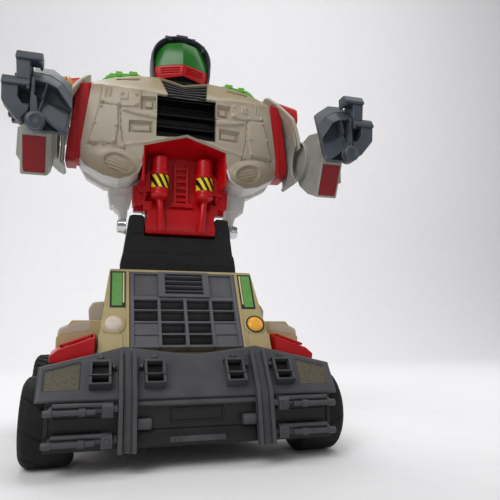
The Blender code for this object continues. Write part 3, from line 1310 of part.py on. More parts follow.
def build_shoulder(side, sign, pivot):
    outer = HUB_INNER_X + HUB_DISC_WIDTH
    profile = [(0.0, outer), (HUB_DISC_OUTER_RADIUS, outer), (HUB_DISC_RADIUS, HUB_INNER_X + WALL),
               (HUB_DISC_RADIUS, HUB_INNER_X), (SHOULDER_SHAFT_RADIUS, HUB_INNER_X),
               (SHOULDER_SHAFT_RADIUS, HUB_INNER_X - SHOULDER_SHAFT_LENGTH),
               (0.0, HUB_INNER_X - SHOULDER_SHAFT_LENGTH)]
    hub = turned(profile, "X", (0.0, SHOULDER_Y, SHOULDER_Z), flip=sign < 0)
    add_part(f"{side}_shoulder_hub", hub, "red", pivot)

    outline = belt((SHOULDER_Y, SHOULDER_Z), UPPER_ARM_RADIUS, (ELBOW_Y, ELBOW_Z), ELBOW_RADIUS)
    arm = prism([outline], "X", *span(sign, UPPER_ARM_X, UPPER_ARM_X + UPPER_ARM_WIDTH))
    elbow = (0.0, ELBOW_Y, ELBOW_Z)
    fuse(arm, cylinder(ELBOW_RADIUS - RUNNING_GAP, "X", elbow, sign * (UPPER_ARM_X + UPPER_ARM_WIDTH / 2),
                       sign * ELBOW_BOSS_X))
    cut(arm, cylinder(ELBOW_PIN_RADIUS + CLEARANCE, "X", elbow, sign * (UPPER_ARM_X - WALL),
                      sign * (ELBOW_BOSS_X + WALL)))
    add_part(f"{side}_upper_arm", arm, "beige", pivot)


def pad_curve(inset, steps=9):
    """Front view of the pad, from its inner edge over the shoulder and down its outer side."""
    width = PAD_OUTER_X - PAD_INNER_X - inset
    height = PAD_TOP_Z - PAD_FOOT_Z - inset
    power = 2.0 / PAD_FULLNESS
    points = []
    for i in range(steps + 1):
        turn = math.pi / 2 * (1.0 - i / steps)
        x = PAD_INNER_X + width * abs(math.cos(turn)) ** power
        z = PAD_FOOT_Z + height * abs(math.sin(turn)) ** power
        points.append((PAD_INNER_X if i == 0 else x, PAD_FOOT_Z if i == steps else z))
    return points


def build_shoulder_pad(side, sign, pivot):
    """A curved plate over the shoulder, with a boss that stands on the upper arm."""
    outline = pad_curve(0.0) + pad_curve(PAD_THICKNESS)[::-1]
    pad = prism([[(sign * x, z) for x, z in outline]], "Y", PAD_FOOT_FRONT_Y, PAD_REAR_Y)
    slope = (PAD_TOP_FRONT_Y - PAD_FOOT_FRONT_Y) / (PAD_TOP_Z - PAD_FOOT_Z)
    ahead = PAD_FOOT_FRONT_Y - WALL
    trim = [(ahead, PAD_FOOT_Z - WALL), (PAD_FOOT_FRONT_Y - WALL * slope, PAD_FOOT_Z - WALL),
            (PAD_TOP_FRONT_Y + WALL * slope, PAD_TOP_Z + WALL), (ahead, PAD_TOP_Z + WALL)]
    cut(pad, prism([trim], "X", *span(sign, PAD_INNER_X - WALL, PAD_OUTER_X + WALL)))
    boss_x = span(sign, UPPER_ARM_X + UPPER_ARM_WIDTH + CLEARANCE, PAD_OUTER_X - PAD_THICKNESS)
    fuse(pad, box(boss_x, (SHOULDER_Y - PAD_BOSS_HALF, SHOULDER_Y + PAD_BOSS_HALF),
                  (PAD_FOOT_Z + WALL, PAD_FOOT_Z + WALL + 2 * PAD_BOSS_HALF)))
    add_part(f"{side}_shoulder_pad", pad, "beige", pivot, smooth=True)


def build_forearm(side, sign, pivot):
    front = WRIST_Y
    outline = [(front, WRIST_Z - FOREARM_WRIST_DROP), (front, WRIST_Z + FOREARM_WRIST_RISE),
               (ELBOW_Y - FOREARM_BROW, ELBOW_Z + FOREARM_CREST),
               (ELBOW_Y + FOREARM_HEEL, ELBOW_Z + FOREARM_HEEL_RISE),
               (ELBOW_Y + FOREARM_REAR, ELBOW_Z + FOREARM_REAR_RISE),
               (ELBOW_Y + FOREARM_REAR, ELBOW_Z - FOREARM_REAR_DROP),
               (ELBOW_Y + FOREARM_TAIL, ELBOW_Z - FOREARM_TAIL_DROP),
               (ELBOW_Y - FOREARM_CHIN, ELBOW_Z - FOREARM_CHIN_DROP)]
    block = prism([outline], "X", *span(sign, FOREARM_X, FOREARM_X + FOREARM_WIDTH))
    soften(block, FOREARM_EDGE)
    pin = (UPPER_ARM_X + CLEARANCE, FOREARM_X + FOREARM_WIDTH / 4)
    fuse(block, cylinder(ELBOW_PIN_RADIUS, "X", (0.0, ELBOW_Y, ELBOW_Z), sign * pin[0], sign * pin[1]))
    socket = (sign * WRIST_X, front, WRIST_Z)
    cut(block, cylinder(WRIST_RADIUS + CLEARANCE, "Y", socket, -WRIST_LENGTH - WALL, WALL))
    add_part(f"{side}_forearm", block, "beige", pivot)


FIST_BACK_Y = WRIST_Y - CLEARANCE
FIST_FRONT_Y = FIST_BACK_Y - FIST_DEPTH
FIST_PLATE_Y = FIST_BACK_Y - RUNNING_GAP
FINGERS_BACK_Y = FIST_PLATE_Y - FIST_PLATE - CLEARANCE
CLAW_SPLIT_Y = FIST_BACK_Y - CLAW_LUG_LENGTH - WALL


def claw_bar(radius, sign, start, end):
    return cylinder(radius, "Y", (sign * FIST_SEAM_X, 0.0, CLAW_Z), -start, -end)


def build_palm(side, sign, pivot):
    """The fixed inner half of the fist, with the wrist stub and the claw pin."""
    x = span(sign, FIST_INNER_X, FIST_SEAM_X - CLEARANCE)
    chin = CLAW_Z + (FIST_TOP_Z - CLAW_Z) / 2
    side_view = [(FIST_BACK_Y, FIST_FOOT_Z), (FIST_BACK_Y, FIST_TOP_Z), (FIST_FRONT_Y + FINGER_TIP, FIST_TOP_Z),
                 (FIST_FRONT_Y, FIST_TOP_Z - FINGER_TIP), (FIST_FRONT_Y, chin), (CLAW_SPLIT_Y, FIST_FOOT_Z)]
    palm = prism([side_view], "X", *x)
    soften(palm, FIST_EDGE, 1)
    split = CLAW_SPLIT_Y
    knob = split - CLAW_LUG_LENGTH - CLEARANCE
    room = CLAW_LUG_RADIUS + RUNNING_GAP
    cut(palm, claw_bar(room, sign, split, knob - CLAW_LUG_LENGTH))
    fuse(palm, claw_bar(CLAW_LUG_RADIUS, sign, FIST_BACK_Y - WALL, split + CLEARANCE),
         claw_bar(CLAW_PIN_RADIUS, sign, split + WALL, knob - WALL / 2),
         claw_bar(CLAW_LUG_RADIUS, sign, knob, knob - WALL))
    stub = (sign * WRIST_X, WRIST_Y, WRIST_Z)
    fuse(palm,
         box(span(sign, FIST_SEAM_X - FINGER_BAR, FIST_OUTER_X - FINGER_BAR),
             (FIST_PLATE_Y - FIST_PLATE, FIST_PLATE_Y), (CLAW_Z + FINGER_TIP, FIST_TOP_Z - FINGER_BAR)),
         cylinder(WRIST_RADIUS, "Y", stub, -WRIST_LENGTH, WALL))
    add_part(f"{side}_fist_palm", palm, "dark_grey", pivot)


def finger_hook(sign, outer, inner, foot, top):
    """A finger seen from the front: a post with a bar that curls in and a short tip."""
    outline = [(outer - FINGER_BAR, foot), (outer, foot), (outer, top - FINGER_BAR / 3),
               (outer - FINGER_BAR / 3, top), (inner, top), (inner, top - FINGER_BAR - FINGER_DROP),
               (inner + FINGER_TIP, top - FINGER_BAR - FINGER_DROP), (inner + FINGER_TIP, top - FINGER_BAR),
               (outer - FINGER_BAR, top - FINGER_BAR)]
    return prism([[(sign * x, z) for x, z in outline]], "Y", FIST_FRONT_Y, FIST_FRONT_Y + FINGER_DEPTH)


def build_fingers(side, sign, pivot):
    """The hinged outer half of the fist, with two hooked fingers."""
    seam = FIST_SEAM_X + CLEARANCE
    outer = FIST_OUTER_X - FINGER_BAR / 2
    top = FIST_TOP_Z - FINGER_BAR
    outline = [(seam, CLAW_Z), (seam + 2 * FINGER_TIP, FIST_FOOT_Z), (outer - FINGER_BAR, FIST_FOOT_Z),
               (outer, CLAW_Z + FINGER_BAR), (outer, top - FINGER_BAR), (outer - FINGER_BAR, top), (seam, top)]
    palm_front = FIST_FRONT_Y + FINGER_DEPTH / 2
    hand = prism([[(sign * x, z) for x, z in outline]], "Y", palm_front, FINGERS_BACK_Y)
    reach = FIST_TOP_Z + RUNNING_GAP + FINGER_BAR + FINGER_DROP
    fuse(hand,
         finger_hook(sign, FIST_OUTER_X, FIST_SEAM_X + FINGER_TIP, CLAW_Z + FINGER_TIP, top - FINGER_TIP),
         finger_hook(sign, FIST_SEAM_X + FINGER_CURL, FIST_SEAM_X - FINGER_CURL, top - FINGER_BAR, reach))
    split = CLAW_SPLIT_Y
    room = CLAW_LUG_RADIUS + RUNNING_GAP
    lug = (split, split - CLAW_LUG_LENGTH)
    cut(hand, claw_bar(room, sign, FIST_BACK_Y + WALL, split))
    fuse(hand, claw_bar(CLAW_LUG_RADIUS, sign, lug[0], lug[1]))
    cut(hand, claw_bar(CLAW_PIN_RADIUS + CLEARANCE, sign, split + WALL, lug[1] - WALL),
        claw_bar(room, sign, lug[1], lug[1] - 2 * CLAW_LUG_LENGTH))
    add_part(f"{side}_fist_fingers", hand, "dark_grey", pivot)


def build_arm(side, sign, torso):
    shoulder = add_pivot(f"{side}_shoulder_axis", (sign * HUB_INNER_X, SHOULDER_Y, SHOULDER_Z), torso)
    elbow = add_pivot(f"{side}_elbow_axis", (sign * FOREARM_X, ELBOW_Y, ELBOW_Z), shoulder)
    wrist = add_pivot(f"{side}_wrist_axis", (sign * WRIST_X, WRIST_Y, WRIST_Z), elbow)
    claw = add_pivot(f"{side}_claw_axis", (sign * FIST_SEAM_X, CLAW_SPLIT_Y, CLAW_Z), wrist)
    build_shoulder(side, sign, shoulder)
    build_shoulder_pad(side, sign, shoulder)
    build_forearm(side, sign, elbow)
    build_palm(side, sign, wrist)
    build_fingers(side, sign, claw)


def build_base():
    build_chassis()
    build_battery()
    build_battery_door()
    build_receiver_board()
    build_power_switch()
    build_gearbox()
    build_front_axle()
    build_truck_body()
    build_grille()
    build_bumper_plate()
    build_apron()
    for side, sign in SIDES:
        build_wheel(side, sign, "front", FRONT_TYRE_RADIUS, FRONT_TRACK, FRONT_AXLE)
        rear = build_wheel(side, sign, "rear", REAR_TYRE_RADIUS, REAR_TRACK, REAR_AXLE)
        build_drive(side, sign, rear)
        build_fender_cover(side, sign)
        build_headlight(side, sign, "amber" if sign > 0 else "cream")
        build_post(side, sign)


def build_robot():
    waist = add_pivot("waist_fold_axis", (0.0, WAIST_HINGE_Y, WAIST_HINGE_Z))
    torso = add_pivot("torso_tilt_axis", (0.0, PIVOT_Y, PIVOT_Z), waist)
    head = add_pivot("head_turn_axis", (0.0, HEAD_Y, CHEST_TOP_Z), torso)
    build_waist(waist)
    build_abdomen(torso)
    build_chest_front(torso)
    build_chest_back(torso)
    build_vent(torso)
    build_head(head)
    for side, sign in SIDES:
        build_pivot_cap(side, sign, waist)
        build_tank(side, sign, torso)
        build_pod(side, sign, torso)
        build_arm(side, sign, torso)


build_base()
build_robot()
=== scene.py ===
# %% [markdown]
# # A battery toy robot on a truck
#
# The upper half of a robot stands on the cab of a small truck. The imported CAD model gives every
# piece its place and its joints, and this lesson dresses it: moulded shells with panel lines, a
# grille, a bumper, tyres with a tread, and the plastics, rubber and chrome they are made of.
# The imported model comes in first.

# %% The imported robot
import math

import bmesh
import bpy
import numpy as np
from mathutils import Matrix, Vector


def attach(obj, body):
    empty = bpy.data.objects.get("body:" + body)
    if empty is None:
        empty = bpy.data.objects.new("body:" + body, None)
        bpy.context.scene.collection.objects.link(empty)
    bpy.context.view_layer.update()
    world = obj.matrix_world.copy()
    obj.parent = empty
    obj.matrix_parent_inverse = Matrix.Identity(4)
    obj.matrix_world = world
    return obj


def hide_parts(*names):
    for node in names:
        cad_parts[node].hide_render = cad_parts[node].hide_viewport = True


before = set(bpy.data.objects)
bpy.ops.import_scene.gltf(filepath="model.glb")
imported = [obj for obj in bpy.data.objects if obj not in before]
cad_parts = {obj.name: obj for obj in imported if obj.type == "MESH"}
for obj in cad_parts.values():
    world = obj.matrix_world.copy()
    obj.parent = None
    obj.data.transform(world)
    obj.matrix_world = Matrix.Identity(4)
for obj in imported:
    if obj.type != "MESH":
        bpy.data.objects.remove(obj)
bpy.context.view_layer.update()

# %% [markdown]
# ## Colours, nodes and grids
#
# Four helpers serve the whole lesson. Colours are written as hex codes, as a picture editor shows
# them, while shaders want linear light, so one function turns the first into the second. Another
# adds a shader node with its settings and links. The last two turn a grid of points into quads and
# put whole arrays into a mesh at once, which is quicker than adding points one by one.

# %% Helpers for colours, nodes and meshes
MM = 0.001
scene = bpy.context.scene


def to_linear(hex_code):
    """A colour as scene-linear red, green, blue from its sRGB hex code."""
    srgb = np.array([int(hex_code[i:i + 2], 16) / 255 for i in (1, 3, 5)])
    return np.where(srgb <= 0.04045, srgb / 12.92, ((srgb + 0.055) / 1.055) ** 2.4)


def add_node(tree, kind, inputs=None, stops=(), **settings):
    """One node: its settings, its inputs (values or other nodes' outputs), and a ramp's stops."""
    node = tree.nodes.new(kind)
    for key, value in settings.items():
        setattr(node, key, value)
    if stops:
        ramp = node.color_ramp.elements
        while len(ramp) < len(stops):
            ramp.new(0.5)
        for stop, (position, tone) in zip(ramp, stops):
            stop.position, stop.color = position, (*to_linear(tone), 1)
    for key, value in (inputs or {}).items():
        if isinstance(value, bpy.types.NodeSocket):
            tree.links.new(value, node.inputs[key])
        else:
            node.inputs[key].default_value = value
    return node


def grid_quads(rows, columns, wrap_rows=False, wrap_columns=False):
    """Corner numbers of the quads of a grid of points; a wrap joins its last line to its first."""
    r = np.arange(rows if wrap_rows else rows - 1)[:, None]
    c = np.arange(columns if wrap_columns else columns - 1)[None, :]
    near, far = r * columns, (r + 1) % rows * columns
    left, right = c, (c + 1) % columns
    return np.stack([near + left, near + right, far + right, far + left], -1).reshape(-1, 4)


def mesh_from(name, solid):
    """A Blender mesh from points in millimetres and a list of face arrays."""
    points, faces = solid
    sizes = np.concatenate([np.full(len(f), f.shape[1]) for f in faces])
    corners = np.concatenate([f.ravel() for f in faces]).astype(np.int32)
    mesh = bpy.data.meshes.new(name)
    mesh.vertices.add(len(points))
    mesh.vertices.foreach_set("co", (np.asarray(points, float) * MM).ravel())
    mesh.loops.add(len(corners))
    mesh.loops.foreach_set("vertex_index", corners)
    mesh.polygons.add(len(sizes))
    starts = np.concatenate([[0], np.cumsum(sizes)[:-1]]).astype(np.int32)
    mesh.polygons.foreach_set("loop_start", starts)
    mesh.update(calc_edges=True)
    mesh.validate()
    return mesh


print("one unit here is", MM, "m")

# %% [markdown]
# ## The paper sweep
#
# A pale sweep of paper stands under and behind the robot, as in a plain product picture: one line
# of points runs along the floor and curls up into a wall. A plane with a bent edge would do too,
# but a profile carried sideways keeps the curl smooth. It is not part of the toy.

# %% Paper sweep
SWEEP_FRONT, SWEEP_REACH, SWEEP_BEND = -2500.0, 900.0, 500.0
SWEEP_TOP, SWEEP_HALF = 2600.0, 3500.0


def paper_sweep():
    """The sweep: a floor line, a quarter circle and a wall line, carried sideways."""
    turn = np.linspace(0, np.pi / 2, 24)
    curl = np.stack([SWEEP_REACH + SWEEP_BEND * np.sin(turn), SWEEP_BEND * (1 - np.cos(turn))], 1)
    profile = np.concatenate([[(SWEEP_FRONT, 0.0)], curl, [(SWEEP_REACH + SWEEP_BEND, SWEEP_TOP)]])
    lines = [np.insert(profile, 0, side, axis=1) for side in (-SWEEP_HALF, SWEEP_HALF)]
    return np.concatenate(lines), [grid_quads(2, len(profile))]


paper = bpy.data.materials.new("seamless_paper_matt")
paper.use_nodes = True
shader = paper.node_tree.nodes["Principled BSDF"]
paper_place = add_node(paper.node_tree, "ShaderNodeTexCoord")
# Paper fibre: a drift of a few per cent over centimetres, so that the floor is not one flat tone
FIBRE_MM = 25.0
fibre = add_node(paper.node_tree, "ShaderNodeTexNoise",
                 {"Vector": paper_place.outputs["Object"], "Scale": 1 / (FIBRE_MM * MM)})
paper_tint = add_node(paper.node_tree, "ShaderNodeValToRGB", {"Fac": fibre.outputs["Fac"]},
                      stops=[(0.0, "#E6E5E7"), (1.0, "#ECEBED")])
paper.node_tree.links.new(paper_tint.outputs["Color"], shader.inputs["Base Color"])
shader.inputs["Roughness"].default_value = 0.9
floor = bpy.data.objects.new("paper_sweep", mesh_from("paper_sweep", paper_sweep()))
floor.data.materials.append(paper)
floor.data.polygons.foreach_set("use_smooth", np.ones(len(floor.data.polygons), bool))
scene.collection.objects.link(floor)
print("paper sweep:", len(floor.data.polygons), "faces")

# %% [markdown]
# ## The light
#
# The light is a large soft panel in front on the robot's right, a weaker one on its left, one
# behind for the edges, one turned to the wall, and an even white surrounding. Area lamps give the
# soft shadow of a window. They are kept weak enough that a colour renders about as it is written.

# %% Lamps and surroundings
MIDDLE = (0.0, 0.0, 0.17)


def soft_panel(name, place, aim, size, watts):
    """A square lamp at a place in metres, turned to face its aim."""
    lamp = bpy.data.lights.new(name, "AREA")
    lamp.energy, lamp.size = watts, size
    panel = bpy.data.objects.new(name, lamp)
    scene.collection.objects.link(panel)
    panel.location = place
    panel.rotation_euler = (panel.location - Vector(aim)).to_track_quat("Z", "Y").to_euler()
    return panel


soft_panel("key_panel", (-0.75, -0.95, 1.15), MIDDLE, 0.9, 14.0)
soft_panel("fill_panel", (1.3, -0.35, 0.7), MIDDLE, 1.0, 2.4)
soft_panel("edge_panel", (-0.2, 0.75, 1.3), MIDDLE, 0.8, 6.0)
soft_panel("wall_panel", (0.6, 0.1, 1.5), (0.6, 1.4, 0.8), 1.4, 12.0)

world = bpy.data.worlds.new("white_surroundings")
world.use_nodes = True
world.node_tree.nodes["Background"].inputs["Color"].default_value = (*to_linear("#FFFFFF"), 1)
world.node_tree.nodes["Background"].inputs["Strength"].default_value = 0.3
scene.world = world
scene.view_settings.view_transform = "Standard"
print("lamps:", [lamp.name for lamp in bpy.data.lights])

# %% [markdown]
# ## The camera
#
# The photo was taken from close by, low down and to the robot's right: 0.43 m away, 85 mm above
# the floor, with the lens tilted up by 8.7 degrees. The place, the aim and the lens come from
# matching the toy's symmetric corners.

# %% Camera at the photo's angle
CAMERA_PLACE = np.array([-66.2, -426.5, 85.1]) * MM
CAMERA_AIM = np.array([0.2835, 0.9469, 0.1518])
CAMERA_RIGHT = np.array([0.9580, -0.2868, 0.0])
LENS_MM, SENSOR_MM, NEAR_CLIP = 37.56, 36.0, 0.01

lens = bpy.data.cameras.new("photo_camera")
lens.lens, lens.sensor_width, lens.clip_start = LENS_MM, SENSOR_MM, NEAR_CLIP
camera = bpy.data.objects.new("photo_camera", lens)
scene.collection.objects.link(camera)
aim = CAMERA_AIM / np.linalg.norm(CAMERA_AIM)
right = CAMERA_RIGHT / np.linalg.norm(CAMERA_RIGHT)
turned_frame = np.eye(4)
turned_frame[:3, :3] = np.stack([right, np.cross(right, aim), -aim], 1)
turned_frame[:3, 3] = CAMERA_PLACE
camera.matrix_world = Matrix(turned_frame.tolist())
scene.camera = camera
print("camera", round(float(np.linalg.norm(CAMERA_PLACE)), 3), "m from the origin")

# %% [markdown]
# ## The plastics
#
# Nearly the whole toy is injection moulded ABS: coloured in the melt, so the colour is even, with
# a slight cloudiness, the faint texture of the mould and a sheen that is duller where hands rub.
# One recipe makes them all. A cloud of noise drifts the colour between two close tones, a finer
# noise moves the roughness, and the finest one is the mould's grain as a tiny bump. A pattern such
# as a print can take the cloud's place in choosing the tone.

# %% Moulded plastic recipe
PER_MM = 1 / MM
CLOUD_SPOTS = (0.3, 0.7)
RUB_MM, RUB_DULL, RUB_BRIGHT = 5.0, 0.08, 0.06
GRAIN_MM, GRAIN_DEPTH_MM = 0.5, 0.05
ABS_IOR = 1.53


def moulded(name, tones, roughness, cloud_mm=14.0, grain=0.25, coat=0.0, metallic=False,
            pattern=None, spots=CLOUD_SPOTS):
    """ABS as it leaves the mould: tones that drift, uneven sheen, fine grain.

    A pattern is a function of the node tree, the place and the cloud, and gives what picks the
    tone; the spots are where on the way from 0 to 1 each tone is full.
    """
    material = bpy.data.materials.new(name)
    material.use_nodes = True
    tree = material.node_tree
    place = add_node(tree, "ShaderNodeTexCoord").outputs["Object"]
    cloud = add_node(tree, "ShaderNodeTexNoise", {"Vector": place, "Scale": PER_MM / cloud_mm,
                                                  "Detail": 4.0, "Roughness": 0.55}).outputs["Fac"]
    tint = add_node(tree, "ShaderNodeValToRGB",
                    {"Fac": pattern(tree, place, cloud) if pattern else cloud},
                    stops=list(zip(spots, tones)))
    rub = add_node(tree, "ShaderNodeTexNoise",
                   {"Vector": place, "Scale": PER_MM / RUB_MM, "Detail": 2.0})
    sheen = add_node(tree, "ShaderNodeMapRange",
                     {"Value": rub.outputs["Fac"], "To Min": roughness - RUB_BRIGHT,
                      "To Max": roughness + RUB_DULL})
    fine = add_node(tree, "ShaderNodeTexNoise", {"Vector": place, "Scale": PER_MM / GRAIN_MM})
    bump = add_node(tree, "ShaderNodeBump", {"Height": fine.outputs["Fac"], "Strength": grain,
                                             "Distance": GRAIN_DEPTH_MM * MM})
    shader = tree.nodes["Principled BSDF"]
    tree.links.new(tint.outputs["Color"], shader.inputs["Base Color"])
    tree.links.new(sheen.outputs["Result"], shader.inputs["Roughness"])
    tree.links.new(bump.outputs["Normal"], shader.inputs["Normal"])
    # The mould's grain scatters part of the mirror image, so the colour stays full in the light
    shader.inputs["Specular IOR Level"].default_value = 0.3
    shader.inputs["Coat Weight"].default_value = coat
    if metallic:
        shader.inputs["Metallic"].default_value = 1.0
    else:
        shader.inputs["IOR"].default_value = ABS_IOR
    return material


print("rub and grain, in mm:", RUB_MM, GRAIN_MM)

# %% [markdown]
# The colours were matched to the photo in pairs of close tones. What one batch of pellets made
# has one material, so the sleeves are cooler than the pads and the deck is yellower than both.

# %% Plastics of one colour
# Pearl beige: the shoulder pads, and the boxes on the deck
beige = moulded("pearl_beige_abs_moulded", ("#A59B8A", "#AFA594"), 0.38)
# Grey: the sleeves and forearms, cooler than the chest
arm_grey = moulded("warm_grey_abs_moulded", ("#8A8B83", "#95968E"), 0.4)
# Tan: the same family, yellowed by age on the cab and the deck
tan = moulded("tan_abs_moulded", ("#A29369", "#AD9E76"), 0.42)
# Silver grey: unpainted rear shell that shows under the chest
silver = moulded("silver_grey_abs_moulded", ("#C4C4C0", "#CECECA"), 0.4)
# Red: glossy, saturated
red = moulded("red_abs_glossy", ("#A9070F", "#B60B16"), 0.3)
# Darker red: the shoulder slabs and cheeks, darkened as painted shade for the shade the pads cast
red_painted_shade = moulded("red_abs_painted_shade", ("#98080F", "#A40B15"), 0.42)
# Dark grey: the grille
dark_grey = moulded("dark_grey_abs_moulded", ("#525358", "#5C5D62"), 0.42)
# Charcoal: the bumper with its posts and rails
charcoal = moulded("charcoal_abs_moulded", ("#3D3D40", "#47474A"), 0.42)
# Slate: the claws and the helmet
slate = moulded("slate_grey_abs_moulded", ("#3C4249", "#464C54"), 0.38)
# Black: the waist plate, satin
black = moulded("black_abs_satin", ("#161618", "#1E1E20"), 0.38)
# Gloss black: the insert behind the chest's opening
gloss_black = moulded("black_abs_glossy", ("#08080A", "#0D0D10"), 0.24)
# Lime: the blocks on the shoulders
lime = moulded("lime_abs_moulded", ("#5CA836", "#6AB644"), 0.4)
print("plastics:", len(bpy.data.materials))

# %% [markdown]
# The chest's front changes tone with height: darker brown toward its foot, grey beige in the
# middle, and tan on the slope along its top, darkened there as painted shade. The ramp follows
# the height instead of the cloud, and the cloud only moves its borders.

# %% Chest plastic by height, with painted shade on its top slope
HEIGHT_FOOT_MM, HEIGHT_TOP_MM, HEIGHT_DRIFT = 200.0, 297.0, 0.16
# The top tone is tan, darkened as painted shade so that the slope along the top renders dimmer
HEIGHT_TONES, HEIGHT_SPOTS = ("#84775F", "#A09686", "#AAA08E", "#8B7C59"), (0.1, 0.34, 0.8, 0.92)


def by_height(tree, place, cloud):
    """Share of the way from the chest's foot to its top, with a part of the cloud added."""
    height = add_node(tree, "ShaderNodeSeparateXYZ", {"Vector": place})
    share = add_node(tree, "ShaderNodeMapRange",
                     {"Value": height.outputs["Z"], "From Min": HEIGHT_FOOT_MM * MM,
                      "From Max": HEIGHT_TOP_MM * MM})
    drift = add_node(tree, "ShaderNodeMath", {0: cloud, 1: HEIGHT_DRIFT, 2: share.outputs["Result"]},
                     operation="MULTIPLY_ADD")
    return drift.outputs["Value"]


# Beige by height: the chest's front, darker brown below, grey beige in the middle, tan at its top
beige_by_height_painted_shade = moulded("pearl_beige_abs_by_height_painted_shade", HEIGHT_TONES, 0.38, pattern=by_height, spots=HEIGHT_SPOTS)
print("tones of the aged beige:", len(HEIGHT_TONES))

# %% [markdown]
# ## Rubber, metal and clear plastic
#
# The tyres are soft vinyl, dull and a little dusty. The caps at the waist are vacuum plated, and
# the shafts inside are drawn steel. The lamps and the visor are tinted plastic with a polished
# face; the lamps' two tones change every millimetre or so, like the prisms behind such a lens.

# %% Tyres, caps, lamps and visor
# Vinyl: dull black with a dusty bloom
tyre_rubber = moulded("black_vinyl_rubber_moulded", ("#0A0A0B", "#121213"), 0.72, cloud_mm=6.0,
                      grain=0.5)
# Lenses: a glossy amber one, and one that the sun has bleached to cream
amber = moulded("amber_lens_moulded", ("#E59A22", "#F2B040"), 0.3, cloud_mm=1.5, coat=0.4)
cream = moulded("faded_lens_moulded", ("#BDB09E", "#CFC4B4"), 0.4, cloud_mm=1.5)
# Visor: dark green with one clear highlight
visor_green = moulded("green_tinted_visor_polished", ("#185A16", "#226A20"), 0.2, cloud_mm=30.0,
                      grain=0.05)
# Metals: drawn steel is grey and soft, the plated caps mirror the room
steel = moulded("steel_drawn", ("#8C8D90", "#98999C"), 0.32, cloud_mm=3.0, metallic=True)
chrome = moulded("chrome_vacuum_plated", ("#C6C7CA", "#D2D3D6"), 0.16, cloud_mm=2.0, grain=0.1,
                 metallic=True)
# Inside the truck: milky gears, a green board, blue film round the cells
nylon = moulded("natural_nylon_moulded", ("#D2CDC0", "#DDD8CC"), 0.45)
board_green = moulded("solder_mask_board", ("#1E6B3C", "#257A46"), 0.4)
cell_wrap = moulded("blue_shrink_film", ("#27558F", "#2F62A3"), 0.3)
print("finishes so far:", len(bpy.data.materials))

# %% [markdown]
# ## Stickers
#
# The stickers are printed foil: hazard stripes on the tanks, a dirt-like speckle in the corners of
# the bumper, plain fields elsewhere. The speckle is a fine noise that picks one of two inks. The
# stripes are a saw of bands, leaned over and cut hard into two inks.

# %% Printed foils
SPECKLE_MM, STRIPE_MM, STRIPE_LEAN = 1.2, 4.6, math.radians(28)
# A band texture of scale 1 repeats every pi / 10 of a unit
STRIPE_SCALE = PER_MM / STRIPE_MM * math.pi / 10


def speckle(tree, place, cloud):
    """Cells of fine noise."""
    dots = add_node(tree, "ShaderNodeTexNoise",
                    {"Vector": place, "Scale": PER_MM / SPECKLE_MM, "Detail": 6.0})
    return dots.outputs["Fac"]


def stripes(tree, place, cloud):
    """A saw of bands across the object, leaned about the view's axis."""
    leaned = add_node(tree, "ShaderNodeMapping",
                      {"Vector": place, "Rotation": (0.0, STRIPE_LEAN, 0.0)})
    bands = add_node(tree, "ShaderNodeTexWave",
                     {"Vector": leaned.outputs["Vector"], "Scale": STRIPE_SCALE},
                     wave_type="BANDS", bands_direction="X", wave_profile="SAW")
    return bands.outputs["Fac"]


# Plain fields: flat ink under a satin film
red_foil = moulded("red_printed_foil", ("#760810", "#820C14"), 0.45, cloud_mm=6.0)
orange_foil = moulded("orange_printed_foil", ("#C8862E", "#D4963C"), 0.4, cloud_mm=4.0)
green_foil = moulded("green_printed_foil", ("#5A8F48", "#669B53"), 0.35, cloud_mm=8.0)
cream_foil = moulded("cream_printed_foil", ("#C9BD8C", "#D6CB9E"), 0.35)
dark_foil = moulded("dark_printed_foil", ("#1D2A1E", "#243426"), 0.35)
# Speckle and stripes: brown flecks like dirt, and black on yellow
corner_foil = moulded("brown_speckled_foil", ("#4A4538", "#5C5545"), 0.5, pattern=speckle,
                      spots=(0.42, 0.62))
hazard = moulded("hazard_stripe_printed_foil", ("#141412", "#E3C922"), 0.32, pattern=stripes,
                 spots=(0.0, 0.5))
hazard.node_tree.nodes["Color Ramp"].color_ramp.interpolation = "CONSTANT"
print("finishes:", len(bpy.data.materials))

# %% [markdown]
# ## Shapes as arrays
#
# Every new piece is a handful of surfaces held as whole arrays of points in millimetres. A prism
# carries a flat outline straight along an axis, a loft joins closed rings one to the next, a turned
# form carries a profile round an axis, and a tube carries a circle along a path. The same shapes
# could be pushed and pulled by hand, but a formula can be read and changed later.

# %% Solids
def loft(rings):
    """Closed rings of points, joined ring to ring, with a flat face on each end."""
    rings = np.asarray(rings, float)
    count, around = rings.shape[:2]
    ends = np.arange(around)[None, :]
    faces = [grid_quads(count, around, wrap_columns=True), ends[:, ::-1],
             ends + (count - 1) * around]
    return rings.reshape(-1, 3), faces


def prism(outline, axis, low, high):
    """A flat outline carried straight along X, Y or Z from low to high."""
    outline, spot = np.asarray(outline, float), "XYZ".index(axis)
    return loft([np.insert(outline, spot, at, axis=1) for at in (low, high)])


def block(x, y, z):
    """A bar between three pairs of limits."""
    return prism([(x[0], y[0]), (x[1], y[0]), (x[1], y[1]), (x[0], y[1])], "Z", *z)


def turned(profile, axis, centre, steps=40):
    """A profile of (radius, place along the axis) carried round that axis through the centre."""
    profile = np.asarray(profile, float)
    angle = np.linspace(0, 2 * np.pi, steps, endpoint=False)
    across = profile[:, :1] * np.cos(angle)
    along = profile[:, :1] * np.sin(angle)
    height = np.repeat(profile[:, 1:], steps, axis=1)
    order = {"X": (height, across, along), "Y": (along, height, across),
             "Z": (across, along, height)}
    return loft(np.stack(order[axis], -1) + np.asarray(centre, float))


